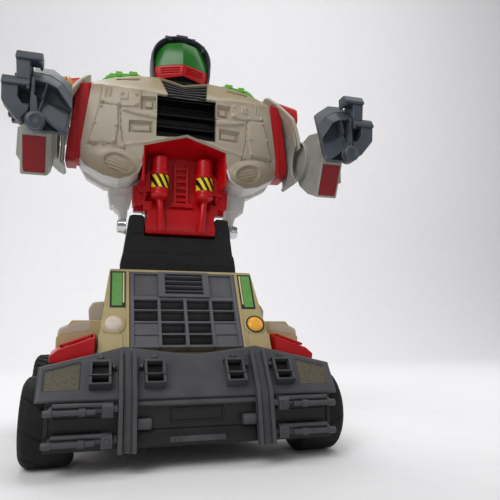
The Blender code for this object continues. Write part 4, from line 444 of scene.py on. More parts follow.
def tube(path, radius, sides=14):
    """A round pipe: a circle carried along a path that never runs along Y, square to it."""
    path = np.asarray(path, float)
    ahead = np.gradient(path, axis=0)
    ahead /= np.linalg.norm(ahead, axis=1, keepdims=True)
    first = np.cross(ahead, (0.0, 1.0, 0.0))
    first /= np.linalg.norm(first, axis=1, keepdims=True)
    second = np.cross(ahead, first)
    angle = np.linspace(0, 2 * np.pi, sides, endpoint=False)[None, :, None]
    size = np.broadcast_to(np.asarray(radius, float), len(path))[:, None, None]
    return loft(path[:, None] + size * (np.cos(angle) * first[:, None] + np.sin(angle)
                                        * second[:, None]))


print("a bar has", len(block((0, 1), (0, 1), (0, 1))[0]), "points")

# %% [markdown]
# Solids of one moulding are joined into one mesh. The robot is the same on both sides, so most are
# drawn once, on its left, and mirrored: that turns the order of each face's corners round, to keep
# it facing outward. What lies on a slope is drawn flat and laid on it.

# %% Joining, mirroring and laying on a slope
SIDES = (("left", 1), ("right", -1))


def join(*solids):
    """Several solids as one: their points in a row, and each face's numbers moved up to match."""
    starts = np.concatenate([[0], np.cumsum([len(points) for points, _ in solids])])
    faces = [face + start for (_, group), start in zip(solids, starts) for face in group]
    return np.concatenate([points for points, _ in solids]), faces


def mirrored(solid):
    """The solid on the other side of the middle plane, with its faces still outward."""
    points, faces = solid
    return points * (-1, 1, 1), [face[:, ::-1] for face in faces]


def both(solid):
    """The solid and its mirror image."""
    return join(solid, mirrored(solid))


def sided(solid, sign):
    """The solid itself for the left side, its mirror image for the right."""
    return solid if sign > 0 else mirrored(solid)


def sloped(solid, origin, up, out):
    """A solid drawn as (across, up the slope, out of it), laid on a slope through the origin."""
    points, faces = solid
    return np.asarray(origin, float) + points @ np.array([(1.0, 0.0, 0.0), up, out]), faces


print("sides:", SIDES)

# %% [markdown]
# A solid becomes a piece of the toy here. Its faces are turned outward, its edges get a small bevel
# like the radius of a mould edge, and its normals are smooth up to a crease. It rides on the body
# of the node that it shows, and takes that node's place. A pair of pieces needs only the left one.

# %% From solid to piece
def make(name, solid, material, body, nodes=(), slot=None, bevel=0.4, steps=2, crease=32):
    """One finished piece: mesh, outward faces, mould-edge bevel, material, body, node; slot unused.
    """
    mesh = mesh_from(name, solid)
    bm = bmesh.new()
    bm.from_mesh(mesh)
    bmesh.ops.recalc_face_normals(bm, faces=bm.faces)
    bm.to_mesh(mesh)
    bm.free()
    mesh.polygons.foreach_set("use_smooth", np.ones(len(mesh.polygons), bool))
    mesh.set_sharp_from_angle(angle=math.radians(crease))
    mesh.materials.append(material)
    piece = bpy.data.objects.new(name, mesh)
    scene.collection.objects.link(piece)
    if bevel:
        edge = piece.modifiers.new("mould_edge", "BEVEL")
        edge.width, edge.segments, edge.limit_method = bevel * MM, steps, "ANGLE"
        edge.angle_limit, edge.harden_normals = math.radians(crease), True
    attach(piece, body)
    if nodes:
        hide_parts(*nodes)
    size = np.ptp(solid[0], axis=0)
    print(f"{name}: {len(mesh.polygons)} faces, {size[0]:.0f} x {size[1]:.0f} x {size[2]:.0f} mm")
    return piece


def make_pair(name, solid, material, body, node=None, **settings):
    """One piece a side, from the left one; {side} in the body's name stands for the side."""
    return [make(f"{side}_{name}", sided(solid, sign), material, body.format(side=side),
                 [f"{side}_{node}"] if node else (), **settings) for side, sign in SIDES]


# %% [markdown]
# ## The cab
#
# The truck's body is one tan moulding. Its cab has a sloping face, and its rings are its plan at
# each height with a notch in front, where the grille is let in. Two ears on the roof hold the
# waist's hinge pin. Pads for the lamps and strips beside the grille are bars laid on the slope.

# %% Cab
CAB_FOOT, CAB_TOP, ROOF_FOOT = 64.0, 131.0, 129.0
CAB_FRONT, CAB_REAR, CAB_HALF = -58.0, 6.0, 63.5
CAB_SET_BACK, CAB_TAPER = 37.0, 8.5
CAB_SLOPE_UP = np.array([0.0, 0.4834, 0.8754])
CAB_SLOPE_OUT = np.array([0.0, -0.8754, 0.4834])
CAB_ORIGIN = np.array([0.0, CAB_FRONT, CAB_FOOT])
NOTCH_HALF, NOTCH_DEPTH = 41.0, 9.0
HINGE_Y, HINGE_Z, HINGE_EAR = 7.0, 136.0, 4.2
LAMP_X, LAMP_UP = 52.0, 28.5


def cab_ring(z, notch):
    """The cab's plan at one height: narrower and further back as it rises, notched or not."""
    share = (z - CAB_FOOT) / (CAB_TOP - CAB_FOOT)
    half, front = CAB_HALF - CAB_TAPER * share, CAB_FRONT + CAB_SET_BACK * share
    inner, deep = NOTCH_HALF, front + (NOTCH_DEPTH if notch else 0.0)
    plan = [(-half, CAB_REAR), (half, CAB_REAR), (half, front), (inner, front), (inner, deep),
            (-inner, deep), (-inner, front), (-half, front)]
    return np.insert(np.array(plan), 2, z, axis=1)


def on_cab(solid):
    """A solid laid on the cab's sloping face."""
    return sloped(solid, CAB_ORIGIN, CAB_SLOPE_UP, CAB_SLOPE_OUT)


cab = loft([cab_ring(CAB_FOOT, True), cab_ring(ROOF_FOOT + 0.2, True)])
roof = loft([cab_ring(ROOF_FOOT, False), cab_ring(CAB_TOP, False)])
ear_turn = np.radians(np.linspace(-40, 180, 14))
ear_round = np.stack([HINGE_Y + HINGE_EAR * np.cos(ear_turn),
                      HINGE_Z + HINGE_EAR * np.sin(ear_turn)], 1)
hinge_ear = prism([*ear_round, (2.8, 129.5), (5.5, 129.5)], "X", 9.3, 16.0)
pillar_pad = on_cab(block((45.5, 62.0), (2.0, 21.0), (-1.0, 0.9)))
grille_strip = on_cab(block((41.0, 43.2), (2.0, 74.0), (-1.0, 0.8)))
lamp_seat = on_cab(turned([(8.6, -1.0), (8.6, 0.8), (7.4, 1.4), (6.6, 1.4), (6.6, -1.0)], "Z",
                          (LAMP_X, LAMP_UP, 0)))
cab_parts = [cab, roof, both(hinge_ear), both(pillar_pad), both(grille_strip), both(lamp_seat)]
print("parts of the cab:", len(cab_parts))

# %% [markdown]
# ## The deck
#
# Behind the cab lies a deck with chamfered shoulders over the rear wheels: a chamfered outline
# carried back, with ribs on the bed, the tail and the flanks, and an arch round each rear wheel. A
# paler box and a plate sit on each side of it; they are a second moulding, softer at its edges.

# %% Deck
deck_outline = [(-90, 66), (-90, 80), (-80, 92), (80, 92), (90, 80), (90, 66), (62, 66), (62, 50.3),
                (-62, 50.3), (-62, 66)]
deck = prism(deck_outline, "Y", -36.0, 98.0)
nose = block((-62, 62), (-66, -35), (50.3, 66.5))
side_box = prism([(56, 90), (68.5, 90), (69.5, 101), (66.5, 106), (58, 107)], "Y", -14.0, 34.0)
shoulder_plate = loft([[(66, -36.2, 84), (89.5, -36.2, 80.5), (88.6, -36.2, 86.4),
                        (77, -36.2, 91.4), (66, -36.2, 92.2)],
                       [(66, -10, 84), (89.5, -10, 80.5), (88.6, -10, 86.8), (77, -10, 92.4),
                        (66, -10, 92.6)]])
bed_ribs = [block((18 + 14 * i, 26 + 14 * i), (16, 90), (91.5, 93.6)) for i in range(4)]
tail_rib = block((-78, 78), (93.5, 98.6), (70, 76))
wing_ribs = [block((87.0, 91.0), (y, y + 3.0), (68, 79)) for y in (-20, -8, 4, 16)]
REAR_AXLE = (72.5, 32.0)
wheel_turn = np.radians(np.linspace(8, 172, 30))
wheel_arch = np.concatenate([REAR_AXLE + r * np.stack([np.cos(t), np.sin(t)], 1)
                             for r, t in ((38.5, wheel_turn), (34.6, wheel_turn[::-1]))])
wheel_arch = prism(np.clip(wheel_arch, -200, 97.5), "X", 80.0, 91.2)
make("truck_shell", join(*cab_parts, deck, nose, *map(both, bed_ribs), tail_rib,
                         *map(both, wing_ribs), both(wheel_arch)), tan, "base", ["truck_body"],
     "beige_plastic", bevel=0.9, steps=3)
make("deck_cowls", join(both(side_box), both(shoulder_plate)), beige, "base", slot="beige_plastic",
     bevel=1.8, steps=3)

# %% [markdown]
# ## The grille
#
# A dark grey insert on the cab's sloping face: a raised louvre in the middle of the top, ribbed
# panels beside it, and below that an egg crate of deep cells whose two lower corners are blank. It
# is drawn flat, as across, up the slope and out of it, and then laid on the cab.

# %% Grille insert
GRILLE_HALF, GRILLE_FOOT, GRILLE_TOP = 40.5, 10.5, 74.0
CELL_ROWS = [(12.4, 20.4), (21.8, 30.0), (31.6, 40.2), (41.4, 49.6)]
BAR_EDGES = [(10.5, 12.4), (20.4, 21.8), (30.0, 31.6), (40.2, 41.4), (49.6, 53.0), (72.6, 74.0)]

bars = [block((-GRILLE_HALF, GRILLE_HALF), (low, high), (-7.5, 0.0))
        for low, high in BAR_EDGES]
posts = [block((-1.2, 1.2), (10.5, 53.0), (-7.5, 0.35)),
         both(block((18.4, 20.6), (10.5, 53.0), (-7.5, 0.35))),
         both(block((37.6, GRILLE_HALF), (10.5, 74.0), (-7.5, 0.35)))]
# Each open cell has a slanted black back: painted shade for the depth of the cell
painted_shade_slants = [prism([(low, -7.6), (high, -7.6), (high, -3.0), (high - 1.0, -2.6)], "X", left,
                left + 17.4) for low, high in CELL_ROWS for left in (-38.0, -19.0, 1.4, 20.4)]
blanks = [both(block((20.0, 38.0), (low - 0.4, high + 0.2), (-6.0, -0.9)))
          for low, high in CELL_ROWS[:2]]
ribbed = [both(block((18.0, 38.0), (52.5, 73.0), (-7.0, -1.6)))]
ribbed += [both(block((20.4 + 2.2 * i, 21.4 + 2.2 * i), (54.0, 72.4), (-2.0, -1.2)))
           for i in range(8)]
louvre = [both(block((14.6, 19.6), (51.6, 74.0), (-6.0, 1.8))),
          block((-15.0, 15.0), (51.6, 54.2), (-6.0, 1.8)),
          block((-15.0, 15.0), (72.2, 74.0), (-6.0, 1.8))]
slats = [prism([(s, -6.0), (s + 0.7, -6.0), (s + 2.4, 1.0), (s + 1.5, 1.4)], "X", -14.8, 14.8)
         for s in (55.4, 59.8, 64.2, 68.6)]
make("grille_insert", on_cab(join(*bars, *posts, *blanks, *ribbed, *louvre, *slats)), dark_grey,
     "base", ["grille_panel"], "dark_grey_plastic", bevel=0.25)
# A black board behind the insert, with the slanted backs: painted shade for the dark cells and gaps
painted_shade_board = block((-GRILLE_HALF, GRILLE_HALF), (GRILLE_FOOT, GRILLE_TOP), (-8.6, -7.4))
make("grille_painted_shade_board", on_cab(join(painted_shade_board, *painted_shade_slants)), black, "base", slot="dark_grey_plastic",
     bevel=0.2)

# %% [markdown]
# ## Lamps and labels on the cab
#
# Round lenses sit in rings on the pillars. The robot's right one has faded to cream, the left one
# is still amber. Above each is a printed label with a dark border, a green field and a cream
# stripe; it is kept plain. The border, field and stripe are three thin layers of foil.

# %% Head lamps and pillar labels
lens_profile = [(0.4, 3.4), (2.6, 3.3), (4.6, 2.9), (5.9, 2.1), (6.5, 0.9), (6.5, -0.6)]
for side, sign in SIDES:
    lens_solid = on_cab(turned(lens_profile, "Z", (sign * LAMP_X, LAMP_UP, 0.0)))
    make(f"{side}_headlamp_lens", lens_solid, amber if sign > 0 else cream, "base",
         [f"{side}_headlight"], "amber_lens" if sign > 0 else "cream_lens", bevel=0)
    ring = turned([(6.7, 0.9), (7.3, 0.9), (7.3, 1.7), (6.7, 1.7)], "Z",
                  (sign * LAMP_X, LAMP_UP, 0.0))
    make(f"{side}_headlamp_ring", on_cab(ring), dark_foil if sign > 0 else tan, "base",
         slot="dark_grey_plastic", bevel=0)
    label = [(43.6, 54.8, 42.5, 74.2, 0.35, dark_foil, "border"),
             (46.2, 53.4, 44.0, 72.8, 0.55, green_foil, "field"),
             (44.6, 45.7, 46.5, 72.8, 0.55, cream_foil, "stripe")]
    for low, high, foot, top, out, ink, part in label:
        foil = on_cab(sided(block((low, high), (foot, top), (-0.4, out)), sign))
        make(f"{side}_label_{part}", foil, ink, "base", slot="lime_plastic", bevel=0.1)

# %% [markdown]
# ## The front wheel covers
#
# Red covers fill the gap between the cab and the bumper, over the front wheels. Their top slopes
# down and out, and carries a raised frame like the outline of a hatch. The hatch is a few bars on
# the slope.

# %% Fender covers
COVER_OUTLINE = np.array([(64.0, 64.0), (92.0, 64.0), (92.6, 70.5), (87.0, 75.0), (64.0, 83.0)])
COVER_FRONT, COVER_REAR, COVER_DROP = -59.6, -36.3, 2.5
# Along the slope, along the truck, and out of the slope, from the slope's outer front corner
HATCH_ORIGIN = np.array([88.0, -58.0, 73.6])
HATCH_AXES = np.array([(-0.944, 0.0, 0.329), (0.0, 1.0, 0.0), (0.329, 0.0, 0.944)])
lowered = COVER_OUTLINE - (0.0, COVER_DROP) * (COVER_OUTLINE[:, 1:] > 70)
cover = loft([np.insert(lowered, 1, COVER_FRONT, axis=1),
              np.insert(COVER_OUTLINE, 1, COVER_REAR, axis=1)])
hatch_points, hatch_faces = join(block((2.0, 24.0), (3.0, 4.6), (-0.5, 1.4)),
                                 block((2.0, 24.0), (17.0, 18.6), (-0.5, 1.4)),
                                 block((2.0, 3.8), (3.0, 18.6), (-0.5, 1.4)),
                                 block((22.2, 24.0), (3.0, 18.6), (-0.5, 1.4)),
                                 block((7.0, 19.0), (6.5, 15.0), (-0.5, 0.8)))
hatch = HATCH_ORIGIN + hatch_points @ HATCH_AXES, hatch_faces
make_pair("fender_shell", join(cover, hatch), red, "base", "fender_cover", slot="red_plastic",
          bevel=0.7, steps=3)

# %% [markdown]
# ## The bumper plate
#
# The bumper is the widest dark grey moulding: a slanted plate whose top edge dips in the middle and
# falls away to the corners. The plate is a sheet drawn as across and up the slope. Its height out
# of the slope is a sum of soft steps: a hollow between the lamps, a rounded edge, and a sunk field
# in each corner. A soft step needs two measures, which serve the chest and the claws as well: how
# deep a point lies inside an outline, and how far it is up a flank.

# %% Soft steps, and a wall for sheets
def step_in(distance, width):
    """0 outside, 1 inside, with a straight flank of the given width round distance 0."""
    return np.clip(distance / width + 0.5, 0.0, 1.0)


def depth_in(x, z, outline):
    """Distance of each point inside a convex outline, given anticlockwise; negative outside."""
    corners = np.asarray(outline, float)
    edges = np.roll(corners, -1, axis=0) - corners
    edges /= np.linalg.norm(edges, axis=1, keepdims=True)
    gaps = [edge[0] * (z - c[1]) - edge[1] * (x - c[0]) for c, edge in zip(corners, edges)]
    return np.min(gaps, axis=0)


def sheet(points):
    """A grid of points, rows by columns, as an open solid."""
    return points.reshape(-1, 3), [grid_quads(*points.shape[:2])]


def add_wall(piece, thickness, offset=-1.0):
    """Solidify inward, ahead of the bevel."""
    wall = piece.modifiers.new("wall", "SOLIDIFY")
    wall.thickness, wall.offset, wall.use_even_offset = thickness * MM, offset, True
    piece.modifiers.move(len(piece.modifiers) - 1, 0)
    return piece


print("a point 1 mm inside a 4 mm square:", depth_in(1.0, 2.0, [(0, 0), (4, 0), (4, 4), (0, 4)]))

# %% [markdown]
# The plate itself follows the slope that starts at its lower edge. Solidify gives the sheet its
# wall, which is quicker than drawing a second side and joining the rims.

# %% Bumper plate
BUMPER_ORIGIN = np.array([0.0, -90.0, 43.0])
BUMPER_UP = np.array([0.0, 0.5664, 0.8241])
BUMPER_OUT = np.array([0.0, -0.8241, 0.5664])
BUMPER_HALF, BUMPER_WALL = 97.0, 3.6
DIP_HEIGHT, PEAK_X, PEAK_HEIGHT, CORNER_FALL = 34.0, 45.0, 38.8, 14.5
HOLLOW_DEPTH, HOLLOW_HALF, EDGE_ROUND = 1.6, 15.0, 1.6
CORNER_FIELD = np.array([(72.0, 7.6), (93.0, 7.6), (93.0, 21.0), (72.0, 27.0)])
FIELD_DEPTH, FOIL_SHRINK = 1.3, 0.05


def on_bumper(solid):
    """A solid laid on the bumper's slope."""
    return sloped(solid, BUMPER_ORIGIN, BUMPER_UP, BUMPER_OUT)


def bumper_top(x):
    """Height of the plate up its slope: a dip in the middle, peaks over the posts, low corners."""
    reach = np.abs(x)
    dip = DIP_HEIGHT + (PEAK_HEIGHT - DIP_HEIGHT) * (reach / PEAK_X) ** 1.7
    fall = PEAK_HEIGHT - CORNER_FALL * (reach - PEAK_X) / (BUMPER_HALF - PEAK_X)
    return np.where(reach < PEAK_X, dip, fall)


plate_x, plate_share = np.meshgrid(np.linspace(-BUMPER_HALF, BUMPER_HALF, 245),
                                   np.linspace(0, 1, 49))
plate_up = plate_share * bumper_top(plate_x)
to_edge = np.minimum(np.minimum(plate_up, bumper_top(plate_x) - plate_up),
                     BUMPER_HALF - np.abs(plate_x))
plate_out = -HOLLOW_DEPTH * np.exp(-(plate_x / HOLLOW_HALF) ** 2)
plate_out -= (1 - np.clip(to_edge / EDGE_ROUND, 0, 1)) ** 2
plate_out -= FIELD_DEPTH * step_in(depth_in(np.abs(plate_x), plate_up, CORNER_FIELD), 0.9)
plate = sheet(np.stack([plate_x, plate_up, plate_out], -1))
bumper = make("bumper_shell", on_bumper(plate), charcoal, "base", ["bumper_plate"],
              "dark_grey_plastic", bevel=0)
add_wall(bumper, BUMPER_WALL)

foil_outline = CORNER_FIELD + (CORNER_FIELD.mean(0) - CORNER_FIELD) * FOIL_SHRINK
patch = on_bumper(prism(foil_outline, "Z", -1.6, -1.05))
make_pair("corner_foil", patch, corner_foil, "base", slot="dark_grey_plastic", bevel=0.1)

# %% [markdown]
# ## Four lamp boxes
#
# Each box on the bumper is a hood with two dark openings one above the other, a ledge between them,
# and small nubs on its top and side. It could be a block with two dark patches, but four bars and a
# ledge round a dark plate make the openings really hollow.

# %% Bumper lamps
def lamp_hood(middle, nub):
    """A tapered frame of bars round two openings, with nubs; middle is its place across."""
    side_bars = [prism([(7.6, -0.5), (26.6, -0.5), (25.2, 5.0), (15.0, 5.6), (8.2, 6.4)], "X",
                       middle + low, middle + high) for low, high in ((-6.6, -4.9), (4.9, 6.6))]
    top = prism([(23.6, -0.5), (27.2, -0.5), (25.6, 5.2), (23.9, 5.2)], "X", middle - 6.6,
                middle + 6.6)
    ledge = prism([(13.4, 0.0), (15.2, 0.0), (15.2, 5.8), (13.9, 6.6)], "X", middle - 6.4,
                  middle + 6.4)
    foot = prism([(7.0, -0.5), (8.6, -0.5), (8.8, 6.6), (7.8, 6.6)], "X", middle - 6.6,
                 middle + 6.6)
    cap = turned([(2.0, 0.5), (2.0, 3.4), (1.3, 4.4)], "Z", (middle, 28.2, 0.0), 16)
    knob = turned([(1.3, 0.0), (1.5, 3.4), (0.9, 4.2)], "Z", (middle + nub * 8.4, 21.5, 0.0), 14)
    arm = block((middle + nub * 7.4 - 1.2, middle + nub * 7.4 + 1.2), (20.8, 22.2), (-0.5, 1.6))
    return join(*side_bars, top, ledge, foot, cap, knob, arm)


LAMP_PLACES = ((60.0, -1), (26.5, 1), (-26.5, 1), (-60.0, -1))
hoods = [lamp_hood(middle, nub if middle > 0 else -nub) for middle, nub in LAMP_PLACES]
make("bumper_lamp_hoods", on_bumper(join(*hoods)), charcoal, "base", slot="dark_grey_plastic",
     bevel=0.35)
glasses = [block((middle - 5.2, middle + 5.2), (8.4, 24.4), (-0.4, 0.9))
           for middle, _ in LAMP_PLACES]
make("bumper_lamp_glasses", on_bumper(join(*glasses)), gloss_black, "base", slot="black_plastic",
     bevel=0.3)

# %% [markdown]
# ## The posts
#
# Two channel-shaped posts run down the bumper and past its lower panel, bent where the slope ends.
# A post is five strips side by side, two high ones, a low floor and two fine lines on it: each is
# the same bent side view, carried across by its own width.

# %% Bumper posts
POST_FOOT = (-95.9, 13.5)
# From and to across, and how proud of the bumper
POST_STRIPS = [(38.0, 40.6, 6.4), (40.2, 46.8, 3.4), (46.4, 49.0, 6.4), (41.2, 42.2, 4.0),
               (44.8, 45.8, 4.0)]


def bumper_point(rise, out):
    """Side view of a point up the bumper's slope and out of it."""
    point = BUMPER_ORIGIN + rise * BUMPER_UP + out * BUMPER_OUT
    return point[1], point[2]


def post_side(front):
    """Side view of one strip of the post, standing proud of the bumper by a given height."""
    return [POST_FOOT, (-89.8, 40.4), bumper_point(-0.5, 0.3), bumper_point(31.0, 0.3),
            bumper_point(31.0, front), bumper_point(24.0, front + 0.3), bumper_point(0.0, front),
            (POST_FOOT[0] - front, POST_FOOT[1])]


post = join(*[prism(post_side(front), "X", low, high) for low, high, front in POST_STRIPS])
make_pair("post_channel", post, charcoal, "base", "bumper_post", slot="dark_grey_plastic",
          bevel=0.7, steps=3)

# %% [markdown]
# ## The rails and the lower panel
#
# Stepped rails with tubes, collars and brackets cross a black panel in two tiers beside the posts,
# and a framed field and a strip lie between them. Every rail is an outline carried across, every
# tube a turned form; one tier on one side is drawn, and then repeated and mirrored.

# %% Rails and lower panel
RAIL_TIERS = (36.0, 18.4)


def rail_tier(z):
    """One tier of rail on one side: ledge, two tubes with collars, bracket and end blocks."""
    ledge = prism([(-88.5, z), (-94.6, z), (-96.6, z + 1.2), (-96.6, z + 3.0), (-94.6, z + 4.4),
                   (-88.5, z + 4.6)], "X", 49.2, 88.5)
    upper = turned([(1.5, 55.0), (1.5, 86.0), (1.1, 86.6)], "X", (0.0, -95.6, z + 5.2), 14)
    lower = turned([(1.7, 62.0), (1.7, 67.6), (2.5, 67.8), (2.5, 71.6), (1.7, 71.8), (1.7, 86.0),
                    (2.3, 86.2), (2.3, 89.6), (1.9, 91.4)], "X", (0.0, -97.6, z + 1.6), 14)
    bracket = prism([(-88.5, z - 2.0), (-97.6, z - 2.0), (-98.8, z + 0.5), (-98.8, z + 4.4),
                     (-96.8, z + 6.2), (-88.5, z + 6.2)], "X", 52.0, 58.6)
    bolt = turned([(1.5, -99.6), (1.5, -98.2), (1.9, -97.8)], "Y", (55.3, 0.0, z + 2.2), 12)
    return join(ledge, upper, lower, bracket, bolt)


apron = block((-91, 91), (-89.5, -87.1), (14.0, 43.0))
panel_lines = both(join(block((60, 86), (-90.2, -89.0), (25.2, 26.2)),
                        block((60, 86), (-90.2, -89.0), (32.6, 33.6)),
                        block((88.5, 91), (-90.6, -89.0), (16.0, 40.0))))
middle_lip = prism([(-88.5, 38.2), (-91.6, 38.8), (-92.4, 40.0), (-91.6, 41.6), (-88.5, 42.0)], "X",
                   -38.0, 38.0)
middle_frame = [block((-17, 17), (-90.6, -89.0), (low, low + 1.0)) for low in (28.6, 36.2)]
middle_frame += [block((low, low + 1.0), (-90.6, -89.0), (28.6, 37.2)) for low in (-17.0, 16.0)]
lower_strip = prism([(-88.5, 15.4), (-92.6, 16.0), (-92.6, 21.6), (-91.0, 24.6), (-88.5, 25.6)],
                    "X", -37.8, 37.8)
strip_bar = block((-17.5, 17.5), (-94.0, -92.0), (17.2, 20.6))
strip_knobs = both(turned([(1.5, -94.8), (1.5, -93.6), (1.9, -93.2)], "Y", (13.2, 0.0, 18.9), 14))
post_knuckles = both(turned([(3.2, 29.0), (3.6, 30.0), (3.6, 37.6)], "X", (0.0, -92.0, 28.6), 20))
make("apron_panel", join(apron, panel_lines, *middle_frame, lower_strip), black, "base",
     slot="dark_grey_plastic", bevel=0.3)
rails = [both(rail_tier(z)) for z in RAIL_TIERS]
make("bumper_rails", join(middle_lip, strip_bar, strip_knobs, post_knuckles, *rails),
     charcoal, "base", ["bumper_apron"], "dark_grey_plastic", bevel=0.3)

# %% [markdown]
# ## Tyres
#
# The tyres are wide and soft looking. Each is one closed ring: a cross section carried round the
# axle, with the tread cut by lowering the radius where a pattern of the angle and the place across
# says there is a groove. The front tyres have a few long cuts, the rear ones a row of lugs.

# %% Tyres
TYRE_HALF, SHOULDER_FROM, SHOULDER_DROP = 16.0, 11.5, 4.0
# Radius, bead radius, middle across, axle (y, z)
WHEELS = {"front": (28.0, 18.0, 90.0, (-57.5, 28.0)), "rear": (32.0, 22.0, 96.0, REAR_AXLE)}
# Cuts round the tyre, width over which a cut slants by one turn, share kept, flank, depth, and
# the half width of the plain middle
TREADS = {"front": (9, 30.0, 0.472, 0.03, 0.7, 0.0), "rear": (30, 11.0, 0.30, 0.10, 1.5, 1.2)}


def tyre(radius, bead, middle, axle, tread):
    """Closed ring: radius as a function of angle and place across, cut by the tread pattern."""
    cuts, slant, kept, flank, depth, plain = tread
    turn = np.linspace(0, 2 * np.pi, 336, endpoint=False)
    flat = np.linspace(-TYRE_HALF, TYRE_HALF, 41)
    shoulder = np.clip((np.abs(flat) - SHOULDER_FROM) / (TYRE_HALF - SHOULDER_FROM), 0, 1)
    crown = radius - SHOULDER_DROP * shoulder ** 2.2 - 0.5 * (flat / TYRE_HALF) ** 2
    across = np.concatenate([[-14.2, -15.4, -TYRE_HALF], flat, [TYRE_HALF, 15.4, 14.2]])
    size = np.concatenate([[bead, bead + 1.0, bead + 4.0], crown, [bead + 4.0, bead + 1.0, bead]])
    a, u = np.meshgrid(turn, across, indexing="ij")
    r = np.broadcast_to(size, a.shape).copy()
    wave = np.abs(((a * cuts / (2 * np.pi) + np.abs(u) / slant) % 1.0) - 0.5)
    on_tread = (r > radius - 5.0) & (np.abs(u) > plain)
    r -= depth * step_in(wave - kept, flank) * on_tread
    ring = np.stack([middle + u, axle[0] + r * np.cos(a), axle[1] + r * np.sin(a)], -1)
    return ring.reshape(-1, 3), [grid_quads(*a.shape, wrap_rows=True, wrap_columns=True)]


for end, wheel in WHEELS.items():
    make_pair(f"{end}_tyre_tread", tyre(*wheel, TREADS[end]), tyre_rubber, f"{{side}}_{end}_wheel",
              f"{end}_tyre", slot="tyre_rubber", bevel=0, crease=50)

# %% [markdown]
# ## Wheels
#
# Inside each tyre is a dished wheel with a hub and five nuts, all of one plastic. The dish is a
# turned profile; a nut is the same kind of form, turned in only six steps, and set on a circle.

# %% Wheel dishes
NUT_COUNT, NUT_CIRCLE, NUT_START = 5, 11.6, 18.0
RIM_GAP = 0.3


def dish(bead, middle, axle):
    """A rim, a hollow and a hub round the axle, with a circle of nuts."""
    rim = bead - RIM_GAP
    profile = np.array([(rim, -15), (rim, 13.2), (rim - 2.0, 13.8), (rim - 3.0, 8.0), (8.4, 5.0),
                        (7.0, 11.0), (5.0, 12.4), (2.0, 12.8)])
    turn = np.radians(np.arange(NUT_COUNT) * 360 / NUT_COUNT + NUT_START)
    nuts = [turned([(1.5, 5.5), (1.5, 8.4), (0.8, 9.0)], "X",
                   (middle, axle[0] + NUT_CIRCLE * math.cos(t), axle[1] + NUT_CIRCLE * math.sin(t)),
                   6) for t in turn]
    return join(turned(profile, "X", (middle, *axle), 48), *nuts)


for end, (_, bead, middle, axle) in WHEELS.items():
    make_pair(f"{end}_wheel_dish", dish(bead, middle, axle), charcoal, f"{{side}}_{end}_wheel",
              f"{end}_rim", slot="dark_grey_plastic", bevel=0.3)

# %% [markdown]
# ## The waist
#
# A black plate with two ears stands on the cab's hinge. Its lower third is a little thicker and
# leaves a step across it. Each part is half an outline, mirrored and carried from front to back. A
# latch hangs in front of the hinge, and bright plated caps close the ends of the tilt axle.

# %% Waist plate and caps
WAIST_BACK = 13.0
TILT_AXLE = (0.0, 5.0, 169.0)


def two_halves(half):
    """A closed outline from the corners of its left half and their mirror image."""
    return half + [(-x, z) for x, z in reversed(half)]


upper = [(45.2, 146.0), (41.0, 177.0), (37.6, 178.0), (31.0, 178.0), (29.0, 176.0), (29.0, 161.0)]
upper_plate = prism(two_halves(upper), "Y", -3.0, WAIST_BACK)
lower_plate = prism(two_halves([(47.0, 137.0), (46.0, 143.4), (45.0, 146.6)]), "Y", -5.4,
                    WAIST_BACK)
skirt = prism(two_halves([(46.9, 138.0), (47.4, 132.2)]), "Y", -5.2, 0.0)
hinge_knuckle = turned([(4.1, -8.8), (4.1, 8.8)], "X", (0.0, HINGE_Y, HINGE_Z), 28)
ear_ribs = both(block((31.5, 38.5), (-3.8, -2.0), (163.0, 165.0)))
rear_lip = block((-29.5, 29.5), (11.3, WAIST_BACK), (159.0, 171.0))
make("waist_shell", join(upper_plate, lower_plate, skirt, hinge_knuckle, ear_ribs, rear_lip), black,
     "waist", ["waist_plate"], "black_plastic", bevel=0.7, steps=3)
latch = join(block((-10.6, 10.6), (-7.0, -5.0), (132.0, 135.4)),
             both(block((6.4, 10.6), (-7.8, -4.8), (130.2, 136.2))),
             both(turned([(1.9, 2.2), (1.9, 5.0)], "X", (0.0, -7.0, 133.4), 16)))
make("waist_latch", latch, black, "waist", slot="black_plastic", bevel=0.3)
cap = turned([(6.6, 43.3), (6.6, 44.6), (6.2, 45.2), (5.5, 49.4), (5.0, 50.3), (3.4, 50.6),
              (0.4, 50.7)], "X", TILT_AXLE, 40)
make_pair("plated_cap", cap, chrome, "waist", "pivot_cap", slot="chrome_cap", bevel=0, crease=40)

# %% [markdown]
# ## The red waist panel
#
# Under the chest the body is one red moulding: a recess with a sloping ceiling and slanted cheeks,
# pointed gussets beside the tanks, ears at the hips, and a rounded block that drops into the black
# plate with a pipe down each side. Ceiling and cheeks are lofts between a front and a rear ring, so
# that they can slope; the rest is outlines carried straight.

# %% Recess and hips
back_wall = block((-29.5, 29.5), (-1.0, 2.0), (196.0, 233.0))
ceiling = loft([[(-33.2, -25.6, 229.0), (0.0, -26.4, 238.4), (33.2, -25.6, 229.0),
                 (33.2, -25.6, 229.6), (0.0, -26.4, 238.9), (-33.2, -25.6, 229.6)],
                [(-30.0, 1.0, 227.0), (0.0, 1.0, 227.4), (30.0, 1.0, 227.0), (30.0, 1.0, 231.0),
                 (0.0, 1.0, 234.0), (-30.0, 1.0, 231.0)]])
CHEEK_FOOT, CHEEK_TOP, CHEEK_OUT = 200.5, 229.4, 34.0
recess_cheek = loft([[(inner, y, CHEEK_FOOT), (CHEEK_OUT, y, CHEEK_FOOT), (CHEEK_OUT, y, CHEEK_TOP),
                      (inner, y, CHEEK_TOP)] for inner, y in ((32.4, -25.0), (27.6, 0.0))])
hip_web = join(block((24.0, 38.0), (1.0, 8.0), (181.5, 200.0)),
               block((24.0, 28.6), (-2.0, 6.0), (168.0, 184.0)))
gusset = prism([(25.4, 196.5), (33.5, 195.0), (37.0, 200.6), (32.6, 206.4), (26.4, 214.0)], "Y",
               -10.0, -3.0)
